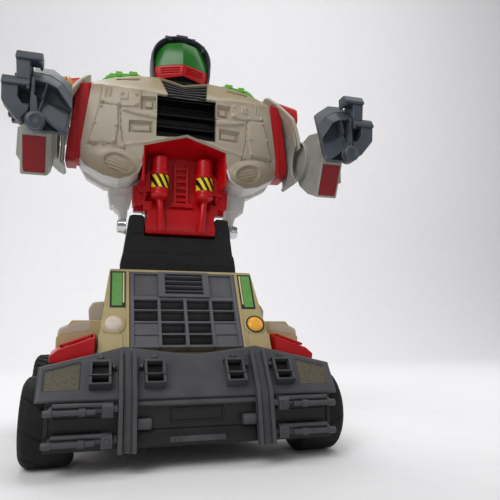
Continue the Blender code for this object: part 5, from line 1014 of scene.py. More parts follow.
hip_ear = prism([(26.6, 196.4), (31.4, 185.4), (34.0, 184.6), (38.7, 185.8), (39.6, 200.6),
                 (34.0, 201.8)], "Y", -6.5, 9.0)
ear_knob = join(block((28.6, 31.2), (-8.6, -5.0), (192.4, 197.6)),
                block((33.0, 37.4), (-7.3, -5.5), (188.4, 197.4)))
hip = join(prism([(-7.0, 189.0), (-8.6, 181.0), (-7.4, 180.2), (6.0, 180.2), (6.0, 189.0)], "X",
                 24.0, 31.0),
           prism([(-7.6, 172.0), (-8.8, 166.0), (-6.6, 162.6), (-4.6, 164.8), (6.0, 163.4),
                  (6.0, 172.0)], "X", 22.4, 28.6))
recess = [back_wall, ceiling, both(recess_cheek), both(hip_web), both(gusset), both(hip_ear),
          both(ear_knob)]
print("parts of the recess:", len(recess))

# %% [markdown]
# The block in the middle bulges forward as it drops, and the pipes beside it swell toward their
# foot. Both run down the same share of the way. A ladder climbs the back wall and leans out over
# the block's top.

# %% Belly, pipes and ladder
BELLY_TOP, BELLY_DROP, BELLY_HALF = 199.0, 36.4, 27.6
down = np.linspace(0, 1, 20)
belly_y = np.interp(down, [0, 0.18, 0.34, 0.5, 0.75, 0.92, 1],
                    [-1.5, -3.4, -5.8, -8.2, -9.4, -8.2, -5.8])
belly_front = np.stack([belly_y, BELLY_TOP - BELLY_DROP * down], 1)
belly = prism([*belly_front, (-4.4, 164.8), (9.0, 162.4), (9.0, 186.0), (1.0, BELLY_TOP)], "X",
              -BELLY_HALF, BELLY_HALF)
pipe_x = np.interp(down, [0, 0.3, 1], [18.6, 17.6, 16.0])
pipe_path = np.stack([pipe_x, -10.2 - 1.8 * np.sin(np.pi * down), 192.0 - 27.0 * down], 1)
pipe = tube(pipe_path, 2.7 + 1.1 * down ** 2, 18)
ladder_lean = [(-7.6, 187.0), (-4.6, 200.0), (-4.0, 223.0), (-0.6, 223.0), (-0.6, 187.0)]
ladder_rails = both(prism(ladder_lean, "X", 4.0, 6.2))
rungs = [block((-4.4, 4.4), (np.interp(z, [187, 200, 223], [-6.8, -3.9, -3.3]), -0.5), (z, z + 2.1))
         for z in np.arange(190.4, 222.0, 5.6)]
sill = prism([(-9.6, 185.0), (9.6, 185.0), (7.4, 188.6), (-7.4, 188.6)], "Y", -9.2, -2.0)
make("waist_panel_shell", join(*recess, belly, both(hip), both(pipe), ladder_rails, *rungs, sill),
     red, "torso", ["abdomen_panel"], "red_plastic", bevel=0.5, steps=2)

# %% [markdown]
# ## The tanks
#
# A pair of red tanks stands in the recess: a domed cap with a joint line, a straight barrel, a
# collar and a funnel down to the pipe. They are turned forms. A printed band of hazard stripes is
# wrapped round each barrel; its bands run across the front, leaning.

# %% Tanks and their bands
TANK_AXIS, TANK_SLIM = (18.4, -11.0, 0.0), 0.92
BAND_IN, BAND_OUT, BAND_FOOT, BAND_TOP = 6.94, 7.06, 198.7, 209.2
cap_turn = np.radians(np.linspace(0, 88, 9))
cap_curve = np.stack([5.2 + 2.55 * np.cos(cap_turn), 223.2 + 2.8 * np.sin(cap_turn)], 1)
tank_profile = np.concatenate([[(2.6, 187.0), (3.0, 189.2), (6.4, 190.6), (8.2, 192.4),
                                (8.4, 194.0), (7.9, 195.2), (8.3, 196.4), (8.0, 197.6),
                                (7.5, 198.2), (7.5, 209.6), (8.3, 209.9), (8.3, 212.6),
                                (7.5, 213.0), (7.2, 213.6), (7.2, 214.0)], cap_curve * (0.93, 1),
                               [(0.5, 226.0)]]) * (TANK_SLIM, 1)
band_profile = [(BAND_IN, BAND_FOOT), (BAND_OUT, BAND_FOOT), (BAND_OUT, BAND_TOP),
                (BAND_IN, BAND_TOP)]
tank, band = [turned(profile, "Z", TANK_AXIS, 44) for profile in (tank_profile, band_profile)]
make_pair("tank_shell", tank, red, "torso", "tank", slot="red_plastic", bevel=0, crease=40)
make_pair("tank_band", band, hazard, "torso", slot="red_plastic", bevel=0, crease=40)

# %% [markdown]
# ## The chest's front shell
#
# The largest moulding: a wide bowed shell with a slope along its top, an opening in the middle, a
# notch over the waist panel and a bulge with an oval vent low on each side. It is one sheet over
# across and height. Its edges come first, each a height as a function of across: the lower edge,
# the lip over the waist, the opening's foot, the crease of the slope and the top. Then comes the
# depth of the plain sheet.

# %% Chest edges and bow
CHEST_HALF, CHEST_BACK_Y = 84.0, 4.0
OPEN_HALF, OPEN_FOOT, OPEN_TOP, NOTCH = 24.2, 237.2, 272.4, 33.4
BOW_FRONT, BOW_DEPTH = -28.0, 15.0
TOP_EDGE_Y = -7.5


def chest_top(x):
    """Top edge: nearly level over the neck, falling away to the shoulders."""
    return np.interp(np.abs(x), [0, 22, 36, 60, 72, 79, 84],
                     [296.6, 296.4, 295.6, 291.6, 288.4, 286.4, 284.6])


def chest_low(x):
    """Lower edge: level over the waist, a deep belly either side of it, rising to the arms."""
    return np.interp(np.abs(x), [0, 33.4, 35, 37.6, 42.3, 51.7, 63.8, 78.6, 84],
                     [222, 222, 215.0, 207.4, 203.8, 201.4, 204.6, 213.4, 221.0])


def lip(x):
    """Lower edge of the front over the waist panel: a shallow upturned V."""
    return np.interp(np.abs(x), [0, 33.4, 60, 84], [238.6, 228.9, 227.0, 226.0])


def open_foot(x):
    """Lower edge of the opening: level, but raised in the middle where the lip comes up to it."""
    return np.maximum(OPEN_FOOT, lip(x) + 1.3)


def crease(x):
    """Where the front turns into the slope along the top."""
    return np.interp(np.abs(x), [0, 24, 57, 72, 84], [273.4, 273.6, 277.6, 279.4, 280.4])


def bow(x, z):
    """Depth of the plain front: forward in the middle, drawn back to the sides and below."""
    reach = np.abs(x) / CHEST_HALF
    drawn_in = np.clip((250 - z) / 50, 0, 1) ** 2 * 10 * reach ** 2
    return BOW_FRONT + BOW_DEPTH * reach ** 2.1 + drawn_in


def chest_depth(x, z):
    """Bow below the crease, a straight slope from there back to the top edge above it."""
    fold = crease(x)
    up = np.clip((z - fold) / np.maximum(chest_top(x) - fold, 1e-3), 0, 1)
    front = bow(x, np.minimum(z, fold))
    return front + up * (TOP_EDGE_Y - front)


print("chest from", chest_low(51.7), "to", chest_top(0.0), "mm")

# %% [markdown]
# Panels, grooves, recesses and rivets are added to the depth of the sheet, so the detail is real
# relief without a single cut. Each kind of mark is a small function over across and height that is
# 1 where the mark is and falls to 0 round it.

# %% Marks for the relief
def ellipse(x, z, middle, half, lean):
    """Distance-like measure from the middle of a leaning ellipse: 1 on its edge."""
    c, s = math.cos(lean), math.sin(lean)
    u, v = (x - middle[0]) * c + (z - middle[1]) * s, (z - middle[1]) * c - (x - middle[0]) * s
    return np.hypot(u / half[0], v / half[1])


def groove(x, z, points, width):
    """1 on a line of points, falling to 0 at half the width beside it."""
    points = np.asarray(points, float)
    reach = np.full(x.shape, np.inf)
    for start, end in zip(points[:-1], points[1:]):
        run = end - start
        along = ((x - start[0]) * run[0] + (z - start[1]) * run[1]) / (run @ run)
        along = np.clip(along, 0, 1)
        gap = np.hypot(x - start[0] - along * run[0], z - start[1] - along * run[1])
        reach = np.minimum(reach, gap)
    return np.clip(1 - reach / (width / 2), 0, 1)


def dome(x, z, places, radius):
    """Round rivet heads: 1 at each place, falling with the square of the distance from it."""
    away = [((x - px) ** 2 + (z - pz) ** 2) / radius ** 2 for px, pz in places]
    return sum(np.clip(1 - square, 0, 1) for square in away)


def rectangle(x, z, low, high, foot, top, flank=0.7):
    """1 inside a rectangle, with a straight flank along its edge."""
    return step_in(np.minimum(np.minimum(x - low, high - x), np.minimum(z - foot, top - z)), flank)


print("a rivet's middle:", dome(0.0, 0.0, [(0, 0)], 1.5))

# %% [markdown]
# The marks follow the photo: two raised fields on each side with a seam between them, a sloping
# ledge beside the opening, two sunk windows with a smaller sill in each, small bars, rivets, and a
# ridge along the lip. Low on each side a bulge carries an oval vent: a ring with louvres inside it.

# %% Chest relief
UPPER_FIELD = [(38.0, 260.6), (54.0, 260.4), (73.5, 264.2), (73.0, 279.0), (36.6, 279.0),
               (36.6, 269.0)]
OUTER_FIELD = [(56.0, 229.4), (78.0, 231.0), (75.8, 246.0), (73.0, 262.6), (56.6, 260.4),
               (55.2, 246.0)]
LEDGE = [(23.2, 251.4), (40.5, 254.0), (52.0, 257.2), (52.0, 258.0), (23.2, 255.6)]
FIELD_SEAM = [(54.6, 261.0), (53.4, 252.0), (52.4, 243.0), (50.4, 232.8), (47.8, 225.6)]
FOOT_SEAM = [(47.8, 225.6), (58.0, 227.2), (70.0, 228.4), (79.5, 230.0)]
LIP_RIDGE = [(0.0, 240.0), (34.0, 230.6), (49.0, 229.2)]
RIVETS = [(56.2, 262.4), (40.4, 262.4), (71.0, 264.8), (40.4, 270.4), (75.4, 246.4), (77.0, 232.0),
          (56.4, 244.2), (57.4, 231.2), (71.6, 260.6), (53.4, 270.6), (24.6, 257.4)]
# Height out of the front, then from and to across, foot and top
RECTANGLES = [(-2.6, 25.2, 36.4, 259.2, 269.4), (1.5, 27.7, 33.0, 261.2, 266.0),
              (-2.4, 27.4, 45.4, 239.9, 248.8), (1.4, 28.8, 42.0, 241.0, 245.6),
              (0.7, 48.0, 55.0, 266.0, 272.0), (0.7, 63.9, 65.5, 268.6, 277.0),
              (0.7, 67.9, 69.3, 268.6, 276.4)]
# Height out of the front, flank, outline
FIELDS = [(0.9, 0.8, UPPER_FIELD), (1.4, 1.0, OUTER_FIELD), (1.3, 0.9, LEDGE)]
# Height out of the front, width, line
LINES = [(-1.1, 1.3, FIELD_SEAM), (-1.0, 1.4, FOOT_SEAM), (1.2, 2.4, LIP_RIDGE)]
RIVET_HEIGHT, RIVET_RADIUS = 1.2, 1.5
LOBE_MIDDLE, LOBE_HALF, LOBE_LEAN, LOBE_RISE = (57.5, 213.0), (26.0, 14.5), math.radians(16), 6.0
VENT_MIDDLE, VENT_HALF, VENT_LEAN = (52.8, 213.0), (12.4, 7.3), math.radians(20)
VENT_RING, VENT_DEPTH, SLAT_DEPTH, SLAT_PITCH, SLAT_SLOPE = 1.2, 1.4, 0.55, 2.6, 0.36


def chest_relief(x, z):
    """Height of the moulded detail out of the front: the sum of all its marks."""
    x = np.abs(x)
    out = sum(height * step_in(depth_in(x, z, field), flank) for height, flank, field in FIELDS)
    out += sum(height * groove(x, z, line, width) for height, width, line in LINES)
    out += sum(height * rectangle(x, z, *limits) for height, *limits in RECTANGLES)
    return out + RIVET_HEIGHT * dome(x, z, RIVETS, RIVET_RADIUS)


def lobe_relief(x, z):
    """The bulge low on each side with its oval vent: a dome, a ring, and louvres inside it."""
    x = np.abs(x)
    swell = ellipse(x, z, LOBE_MIDDLE, LOBE_HALF, LOBE_LEAN)
    out = LOBE_RISE * np.clip(1 - swell ** 2.2, 0, 1) ** 0.8
    oval = ellipse(x, z, VENT_MIDDLE, VENT_HALF, VENT_LEAN)
    out += VENT_RING * np.exp(-((oval - 1.0) / 0.11) ** 2)
    out -= VENT_DEPTH * step_in(0.92 - oval, 0.12)
    rise = z - VENT_MIDDLE[1] - SLAT_SLOPE * (x - VENT_MIDDLE[0])
    slats = np.clip(np.cos(rise * 2 * np.pi / SLAT_PITCH), -0.4, 1)
    return out + SLAT_DEPTH * slats * step_in(0.84 - oval, 0.12)


print("sunk window:", round(float(chest_relief(26.5, 264.0)), 2), "mm")

# %% [markdown]
# Now the sheet. Each column of points is stretched between the heights that the shape must hit, so
# that the edges stay crisp without a dense grid. A last row and two outer columns run back to the
# split line, and the quads in the opening, the notch and the collar's gap are left out.

# %% Chest front
ROWS_BETWEEN = (36, 9, 46, 5, 22)
RELIEF_SCALE = 1.3
# A shallow slot on each side of the slope: share of the way up it, from and to across, depth
SLOT_SHARE, SLOT_FROM, SLOT_TO, SLOT_DEPTH = 0.72, 37.0, 60.0, 1.6
half = np.concatenate([np.linspace(0, OPEN_HALF, 31), np.linspace(OPEN_HALF, NOTCH, 15)[1:],
                       np.linspace(NOTCH, CHEST_HALF, 73)[1:]])
columns = np.concatenate([-half[:0:-1], half])
knots = np.stack([chest_low(columns), lip(columns), open_foot(columns),
                  np.full_like(columns, OPEN_TOP), crease(columns), chest_top(columns)])
# The knots of a column may meet, but never cross: each is kept a little above the one before
order = np.arange(len(knots))[:, None]
knots = np.minimum(np.maximum.accumulate(knots, axis=0) + 0.01 * order,
                   chest_top(columns) - 0.2 * order[::-1])
chest_z = np.concatenate([low + (high - low) * np.linspace(0, 1, count, endpoint=False)[:, None]
                          for low, high, count in zip(knots[:-1], knots[1:], ROWS_BETWEEN)]
                         + [knots[-1:]])
chest_x = np.broadcast_to(columns, chest_z.shape)
on_front = chest_z < crease(chest_x) - 0.2
slot_line = SLOT_SHARE * (chest_top(chest_x) - crease(chest_x)) + crease(chest_x)
chest_y = chest_depth(chest_x, chest_z) - lobe_relief(chest_x, chest_z)
chest_y -= RELIEF_SCALE * chest_relief(chest_x, chest_z) * on_front
slot_mark = rectangle(np.abs(chest_x), chest_z - slot_line, SLOT_FROM, SLOT_TO, -0.9, 0.9, 0.6)
chest_y += SLOT_DEPTH * slot_mark
lean_in = 1.4 + 8.0 * np.clip((chest_z - 219) / 66, 0, 1)
lean_in = lean_in * np.clip((np.abs(chest_x) - 40) / 44, 0, 1)
front = np.stack([chest_x - np.sign(chest_x) * lean_in, chest_y, chest_z], -1)
chest_foot = front[0, columns > NOTCH]


def to_split(points):
    """The same points, moved back to the split line between the shells."""
    return points * (1, 0, 1) + (0, CHEST_BACK_Y, 0)


front = np.concatenate([front, to_split(front[-1:])])
front = np.concatenate([to_split(front[:, :1]), front, to_split(front[:, -1:])], axis=1)
front_points, front_quads = front.reshape(-1, 3), grid_quads(*front.shape[:2])
quad_x, _, quad_z = front_points[front_quads].mean(1).T
quad_x = np.abs(quad_x)
in_notch = (quad_x < NOTCH) & (quad_z < lip(quad_x))
in_opening = (quad_x < OPEN_HALF) & (quad_z > open_foot(quad_x)) & (quad_z < OPEN_TOP)
collar_half = 16.0 + 4.6 * np.clip((quad_z - OPEN_TOP) / 24, 0, 1)
in_collar = (quad_x < collar_half) & (quad_z > OPEN_TOP - 0.5)
front_quads = front_quads[~(in_notch | in_opening | in_collar)]
used, front_quads = np.unique(front_quads, return_inverse=True)
front_points, front_quads = front_points[used], front_quads.reshape(-1, 4)
print("quads of the front:", len(front_quads))

# %% [markdown]
# The cut edges of the opening and the notch get a return, as a moulded shell has a wall there. An
# edge is open where only one quad uses it, and each open edge that is not at the split line is
# carried straight back by a few millimetres.

# %% Returns round the opening and the notch
RETURN, CHEST_CREASE = 3.2, 50
edges = np.stack([front_quads, np.roll(front_quads, -1, axis=1)], -1).reshape(-1, 2)
_, first, uses = np.unique(np.sort(edges, axis=1), axis=0, return_index=True, return_counts=True)
cut_edges = edges[first[uses == 1]]
cut_edges = cut_edges[front_points[cut_edges, 1].min(1) < CHEST_BACK_Y - 0.5]
cut_points, carried = np.unique(cut_edges, return_inverse=True)
carried = carried.reshape(-1, 2) + len(front_points)
returns = np.concatenate([cut_edges[:, ::-1], carried], axis=1)
front_points = np.concatenate([front_points, front_points[cut_points] + (0.0, RETURN, 0.0)])
# The front takes the beige graded by height, with painted shade on its top slope
make("chest_front_shell", (front_points, [front_quads, returns]), beige_by_height_painted_shade, "torso",
     ["chest_front"], "beige_plastic", bevel=0, crease=CHEST_CREASE)
print("open edges carried back:", len(cut_edges))

# %% [markdown]
# From below, the front's lower edge is seen to end on a grey floor that belongs to the rear shell.
# It is a sheet between that edge and the split line, with one step along it.

# %% Chest floor
FLOOR_WALL, FLOOR_STEP = 1.6, 1.2
floor_share = np.linspace(0, 1, 15)[:, None]
floor_y = (chest_foot[:, 1] + 1.2) * (1 - floor_share) + (CHEST_BACK_Y + 0.6) * floor_share
floor_z = chest_foot[:, 2] + 1.4 - FLOOR_STEP * step_in(floor_share - 0.3, 0.12)
floor_x = np.broadcast_to(chest_foot[:, 0], floor_y.shape)
chest_floor = both(sheet(np.stack([floor_x, floor_y, floor_z], -1)))
add_wall(make("chest_floor", chest_floor, silver, "torso", slot="beige_plastic", bevel=0,
              crease=40), FLOOR_WALL)

# %% [markdown]
# The front shell leans in toward its top, and a red cheek fills the wedge between it and the arm.
# It is an outline carried from inside the shell out to the arm; its front follows the shell's edge.

# %% Shoulder cheeks
cheek_z = np.linspace(219.0, 282.0, 24)
cheek_y = chest_depth(CHEST_HALF, np.minimum(cheek_z, 279.0)) + 0.7


def cheek_ring(x, front, top):
    """The cheek's outline at one place out: foot, a front edge along the given depth, top."""
    edge = np.stack([front, np.minimum(cheek_z, top - 1.0)], 1)
    return np.insert(np.concatenate([[(3.6, 216.6), (-4.0, 217.0)], edge,
                                     [(-8.0, top), (3.6, top)]]), 0, x, axis=1)


cheek_block = loft([cheek_ring(70.0, cheek_y + 5.0, 284.6), cheek_ring(77.0, cheek_y, 283.6),
                    cheek_ring(84.45, cheek_y * 0.4 - 12.8 * 0.6, 281.0)])
# The cheeks take the darker red: painted shade for the shade under the pads
make("shoulder_cheeks", both(cheek_block), red_painted_shade, "torso", slot="red_plastic", bevel=0.2,
     steps=2)

# %% [markdown]
# ## A carved block
#
# Several forms are blocks whose one face carries relief: the rear shell, the claws. Such a block is
# a closed outline that first runs straight as a wall, then shrinks ring by ring to its middle. On
# the way in, each point is raised or sunk by a function of where it is, so the face can hold
# chamfers, hollows and lines while the wall stays straight.

# %% Carved blocks
NEARLY_CLOSED = 0.004


def spaced(outline, count, carried=None):
    """The closed outline with points at even steps along it, its own corners kept near.

    A second outline with the same number of corners can be carried along: its points then pair up.
    """
    closed = np.array([*outline, outline[0]], float)
    run = np.concatenate([[0.0], np.cumsum(np.linalg.norm(np.diff(closed, axis=0), axis=1))])
    at = np.sort(np.concatenate([np.linspace(0, run[-1], count, endpoint=False), run[:-1] + 1e-4]))
    closed = closed if carried is None else np.array([*carried, carried[0]], float)
    return np.stack([np.interp(at, run, closed[:, i]) for i in (0, 1)], 1)


def carved(outline, wall, face, relief, count=150, rings=34, root=None):
    """A wall from depth wall to face along an outline in (x, z), then relief(x, z) out of the face.

    The outline shrinks ring by ring to its middle. The wall may start from another one, the root.
    """
    edge = spaced(outline, count)
    centre = edge.mean(0)
    shrink = np.linspace(1, NEARLY_CLOSED, rings)[:, None, None]
    flat = centre + (edge - centre) * shrink
    out = np.sign(face - wall)
    depth = face + out * relief(flat[..., 0], flat[..., 1])
    front = np.stack([flat[..., 0], depth, flat[..., 1]], -1)
    back = np.insert(spaced(outline, count, root), 1, wall, axis=1)
    return loft(np.concatenate([back[None], front]))


print("a square at even steps:", len(spaced([(0, 0), (1, 0), (1, 1), (0, 1)], 40)), "points")

# %% [markdown]
# ## The chest's rear shell
#
# Behind the split line the chest is closed by a grey shell that also shows from below. It is a
# carved block: the wall follows the chest's outline, the back is rounded off, and a raised pack,
# two louvred vents and screw bosses break it up. Two stepped struts reach down to the hip caps.

# %% Chest back and struts
BACK_FACE_Y, BACK_MIDDLE_Z = 33.0, 250.0
PACK_HALF, PACK_FOOT, PACK_TOP = 30.0, 238.0, 286.0
SCREW_BOSSES = [(70.0, 272.0), (70.0, 234.0), (36.0, 290.0), (36.0, 232.0)]
half_back = [(0.0, 200.6), (36.0, 200.4), (44.0, 199.0), (62.0, 200.0), (76.0, 207.6),
             (83.6, 221.0), (83.6, 268.0), (79.5, 281.0), (74.0, 287.0), (58.0, 291.6),
             (36.0, 295.8)]
back_outline = half_back + [(-x, z) for x, z in reversed(half_back[1:])]


def back_relief(x, z):
    """Rounded toward its edge, a grooved pack in the middle, a louvred vent on each side."""
    x = np.abs(x)
    wide, tall = x / CHEST_HALF, np.clip((z - BACK_MIDDLE_Z) / 48, -1, 1)
    out = -20 * np.clip(wide ** 3.5 + np.abs(tall) ** 4 * 0.8, 0, 1)
    pack = rectangle(x, z, -PACK_HALF, PACK_HALF, PACK_FOOT, PACK_TOP, 0.8)
    inside = np.minimum(PACK_HALF - x, np.minimum(z - PACK_FOOT, PACK_TOP - z))
    slope = np.clip(inside / 4.0, 0, 1)
    ribs = 1.2 * (np.cos((z - 262) * 2 * np.pi / 9) > 0.82) * step_in(24 - x, 1.0)
    out = np.where(pack > 0.5, 3.0 - 4.0 * (1 - slope) - ribs, out)
    vent = rectangle(x, z, 40.0, 64.0, 240.0, 266.0, 1.0)
    out -= vent * (1.2 + 0.9 * np.cos((z - 253) * 2 * np.pi / 4.4))
    return out + dome(x, z, SCREW_BOSSES, 2.6)


rear = carved(back_outline, CHEST_BACK_Y + 0.2, BACK_FACE_Y, back_relief, 220, 60)
strut = join(prism([(38.0, 203.0), (40.2, 188.0), (43.0, 186.0), (56.2, 186.6), (58.6, 200.0),
                    (58.0, 206.0)], "Y", 5.0, 25.0),
             prism([(42.0, 187.0), (42.6, 178.0), (47.4, 174.6), (49.4, 181.8), (52.6, 184.2),
                    (53.4, 187.5)], "Y", 6.0, 23.0),
             prism([(43.4, 195.0), (54.4, 195.0), (53.4, 189.0), (44.4, 189.0)], "Y", 4.3, 6.0))
make("chest_rear_shell", join(rear, both(strut)), silver, "torso", ["chest_back"], "beige_plastic",
     bevel=0.5, crease=38)

# %% [markdown]
# ## The black insert
#
# A glossy black moulding fills the opening as a stair of ledges and carries on up the slope as a
# ribbed gorget in front of the neck, folded along its middle. The ledges are one outline carried
# across; the gorget is a sheet whose depth is a saw of ribs along the slope.

# %% Chest insert and gorget
ledges = [(3.0, 239.6), (-21.0, 239.6), (-21.0, 240.6), (-12.0, 243.4), (-12.0, 247.0),
          (-18.0, 248.6), (-18.0, 250.6), (-11.0, 254.0), (-11.0, 258.0), (-17.0, 259.6),
          (-17.0, 261.6), (-10.0, 264.6), (-10.0, 269.6), (-21.0, 271.4), (-21.0, 274.0),
          (3.0, 274.0)]
side_walls = both(join(block((23.8, 25.8), (-23.5, 2.0), (236.0, 273.6)),
                       block((9.0, 24.6), (-21.0, 3.0), (236.2, 241.0))))
make("chest_insert", join(prism(ledges, "X", -24.6, 24.6), side_walls), gloss_black, "torso",
     ["chest_vent"], "black_plastic", bevel=0.4)
GORGET_RIBS, GORGET_WALL, RIB_RISE, FOLD_BACK, FOLD_DIP = 5, 1.6, 2.0, 2.2, 5.0
GORGET_HALF, GORGET_SPREAD, GORGET_FRONT_Y, GORGET_RUN, GORGET_CLIMB = 16.4, 4.6, -26.6, 19.4, 22.4
along, across = np.meshgrid(np.linspace(0, 1, 61), np.linspace(-1, 1, 41), indexing="ij")
rib = np.abs(np.sin(along * GORGET_RIBS * np.pi)) ** 0.7
gorget_x = across * (GORGET_HALF + GORGET_SPREAD * along)
gorget_y = GORGET_FRONT_Y + GORGET_RUN * along - RIB_RISE * rib
gorget_y += FOLD_BACK * np.abs(across) * (1 - along)
gorget_z = OPEN_TOP + GORGET_CLIMB * along - FOLD_DIP * (1 - np.abs(across)) * along
gorget = sheet(np.stack([gorget_x, gorget_y, gorget_z], -1))
add_wall(make("gorget", gorget, gloss_black, "torso", slot="black_plastic", bevel=0, crease=50),
         GORGET_WALL)
# How far the collar dips, by place across
COLLAR_DIPS = [(-22.0, 0.0), (-10.0, 2.4), (0.0, 4.6), (10.0, 2.4), (22.0, 0.0)]


def collar_ring(x, dip):
    """The collar's section at one place across: a bar, lowered by the dip."""
    return [(x, -8.6, 294.6 - dip), (x, -8.6, 296.4 - dip), (x, -3.6, 297.2 - dip),
            (x, -3.6, 294.6 - dip)]


collar = loft([collar_ring(*place) for place in COLLAR_DIPS])
# The collar takes the chest's beige at its top tone, which is darkened as painted shade
make("chest_collar", collar, beige_by_height_painted_shade, "torso", slot="beige_plastic", bevel=0.3)

# %% [markdown]
# ## The lime blocks
#
# A lime green block of machinery sits on each shoulder: a low slab with a box, a rail and round
# studs. Plain bars and turned studs, with rounded mould edges, are enough at this size.

# %% Shoulder pods
# Boxes on the slab: across from and to, front, top
POD_BOXES = [(38.6, 45.4, 0.0, 302.6), (47.0, 49.6, 1.6, 300.6), (51.0, 56.2, 0.4, 301.4),
             (58.0, 61.2, 1.2, 298.6)]
pod_view = [(34.0, 293.0), (67.0, 287.0), (67.0, 292.4), (62.0, 297.4), (56.0, 299.6),
            (38.0, 301.0), (34.0, 299.6)]
pod_slab = prism(pod_view, "Y", 0.6, 18.0)
pod_boxes = [block((low, high), (near, 14.0), (293.0, top)) for low, high, near, top in POD_BOXES]
pod_rails = [block((39.6, 44.4), (-0.8, 2.0), (298.6, 301.2)),
             block((36.0, 64.0), (2.4, 4.6), (292.0, 297.4))]
pod_studs = [turned([(2.2, -0.8), (2.2, 3.0)], "Y", (53.6, 0.0, 298.2), 20),
             turned([(1.7, 296.0), (1.7, 301.0), (0.2, 301.2)], "Z", (59.6, 6.0, 0.0), 16),
             turned([(2.0, 299.0), (2.0, 304.0), (1.4, 304.6), (0.2, 304.7)], "Z", (42.0, 7.0, 0.0),
                    20)]
pod = join(pod_slab, *pod_boxes, *pod_rails, *pod_studs)
make_pair("lime_block", pod, lime, "torso", "shoulder_pod", slot="lime_plastic", bevel=0.6, steps=2)

# %% [markdown]
# ## The head
#
# A dark helmet with a proud rim frames the face. It is an arch outline carried back and rounded
# off, hollow in front, with a crest along its top and a few uneven nubs beside it.

# %% Helmet
HELMET_HALF, HELMET_FOOT, HELMET_MIDDLE = 26.6, 301.2, np.array([0.0, 318.0])
# Rings from the hollow over the rim to the rear: depth, scale, inset in millimetres
HELMET_RINGS = [(19.0, 1, 2.0), (6.6, 1, 1.8), (5.8, 1, 1.3), (5.9, 1, 0.6), (7.4, 1, 0.0),
                (10.2, 1.01, 0.0), (11.2, 0.985, 0.0), (20, 1.0, 0.0), (27, 0.985, 0.0),
                (33, 0.93, 0.0), (37, 0.84, 0.0), (39.4, 0.7, 0.0), (40.2, 0.5, 0.0)]
arch_turn = np.radians(np.linspace(0, 180, 41))
arch_x = HELMET_HALF * np.sign(np.cos(arch_turn)) * np.abs(np.cos(arch_turn)) ** 0.86
arch_z = 322.0 + 23.6 * np.sin(arch_turn) ** 0.9
arch = np.concatenate([[(24.6, HELMET_FOOT), (26.0, 310.0)], np.stack([arch_x, arch_z], 1),
                       [(-26.0, 310.0), (-24.6, HELMET_FOOT)]])


def arch_ring(depth, scale, inset):
    """The arch at one depth, scaled about the head's middle, drawn in, and kept above its foot."""
    ring = HELMET_MIDDLE + (arch - HELMET_MIDDLE) * (scale - inset / HELMET_HALF)
    ring[:, 1] = np.maximum(ring[:, 1], HELMET_FOOT)
    return np.insert(ring, 1, depth, axis=1)


helmet = loft([arch_ring(*ring) for ring in HELMET_RINGS])
crest = prism([(8.0, 343.4), (6.2, 346.4), (8.0, 347.4), (30.0, 345.6), (38.0, 332.0),
               (34.0, 332.0), (28.0, 341.0)], "X", -5.0, 5.0)
nubs = join(block((-15.0, -9.0), (7.0, 13.0), (341.0, 344.6)),
            block((9.0, 12.0), (7.0, 12.0), (341.6, 345.2)),
            block((18.0, 20.6), (7.0, 12.0), (334.0, 339.6)))
neck = turned([(8.9, 293.0), (8.9, 297.0), (8.0, 297.6), (8.0, 302.0)], "Z", (0.0, 17.0, 0.0), 32)
make("helmet_shell", join(helmet, crest, nubs, neck), slate, "head", ["helmet"],
     "dark_grey_plastic", bevel=0.4, crease=40)

# %% [markdown]
# In the helmet sits a glossy green visor folded along its middle, over a red mouth guard with three
# grooves a side. The two share one folded plan. Each is a sheet over across and height, and its
# rounded corners come from the height of its edge as a function of across.

# %% Visor and mouth guard
FACE_WALL, VISOR_HALF, GUARD_HALF = 1.8, 23.4, 23.8
FACE_FRONT_Y, FACE_FOLD, FACE_ROUND = -1.4, 6.4, 3.6
VISOR_FOOT, VISOR_TOP, VISOR_LEAN, CORNER_FROM, CORNER_DROP = 314.4, 337.2, 4.0, 0.46, 11.0
GUARD_GROOVES, GROOVE_WIDTH, GUARD_GAP, GUARD_FOOT = (2.6, 4.6, 6.6), 0.45, 0.3, 304.4


def face_plan(outward):
    """Depth of the folded face: a straight fold either side of the middle, then rounding away."""
    return FACE_FRONT_Y + FACE_FOLD * outward + FACE_ROUND * outward ** 3


def visor_foot(outward):
    """Height of the line where visor and guard meet, falling a little to the sides."""
    return VISOR_FOOT - 0.8 * outward


face_across, face_up = np.meshgrid(np.linspace(-1, 1, 81), np.linspace(0, 1, 41), indexing="ij")
outward = np.abs(face_across)
corner = np.clip((outward - CORNER_FROM) / (1 - CORNER_FROM), 0, 1)
visor_top = VISOR_TOP - 0.6 * outward - CORNER_DROP * corner ** 2
visor_z = visor_foot(outward) + (visor_top - visor_foot(outward)) * face_up
visor_y = face_plan(outward) + VISOR_LEAN * face_up ** 2
visor = sheet(np.stack([face_across * VISOR_HALF, visor_y, visor_z], -1))
add_wall(make("visor_shell", visor, visor_green, "head", ["visor"], "green_visor", bevel=0,
              crease=12), FACE_WALL)
guard_top = visor_foot(outward) - GUARD_GAP
guard_down = (guard_top - GUARD_FOOT + 3.2 * outward) * (1 - face_up)
grooves = sum(np.exp(-((guard_down - at) / GROOVE_WIDTH) ** 2) for at in GUARD_GROOVES)
grooves = grooves * step_in(outward - 0.1, 0.04) * step_in(0.78 - outward, 0.04)
guard_y = face_plan(outward) - 0.6 + 0.9 * grooves + 0.012 * guard_down ** 2
guard = sheet(np.stack([face_across * GUARD_HALF, guard_y, guard_top - guard_down], -1))
add_wall(make("guard_shell", guard, red, "head", ["mouth_guard"], "red_plastic", bevel=0,
              crease=30), FACE_WALL)

# %% [markdown]
# ## Shoulders and arms
#
# A red slab closes each side of the chest and turns with the arm. It is a rounded rectangle carried
# out from the chest, a little thicker toward its foot.

# %% Shoulder slabs
SLAB_MIDDLE, SLAB_TOP, SLAB_FALL = (4.6, 249.0), 283.0, 65.0


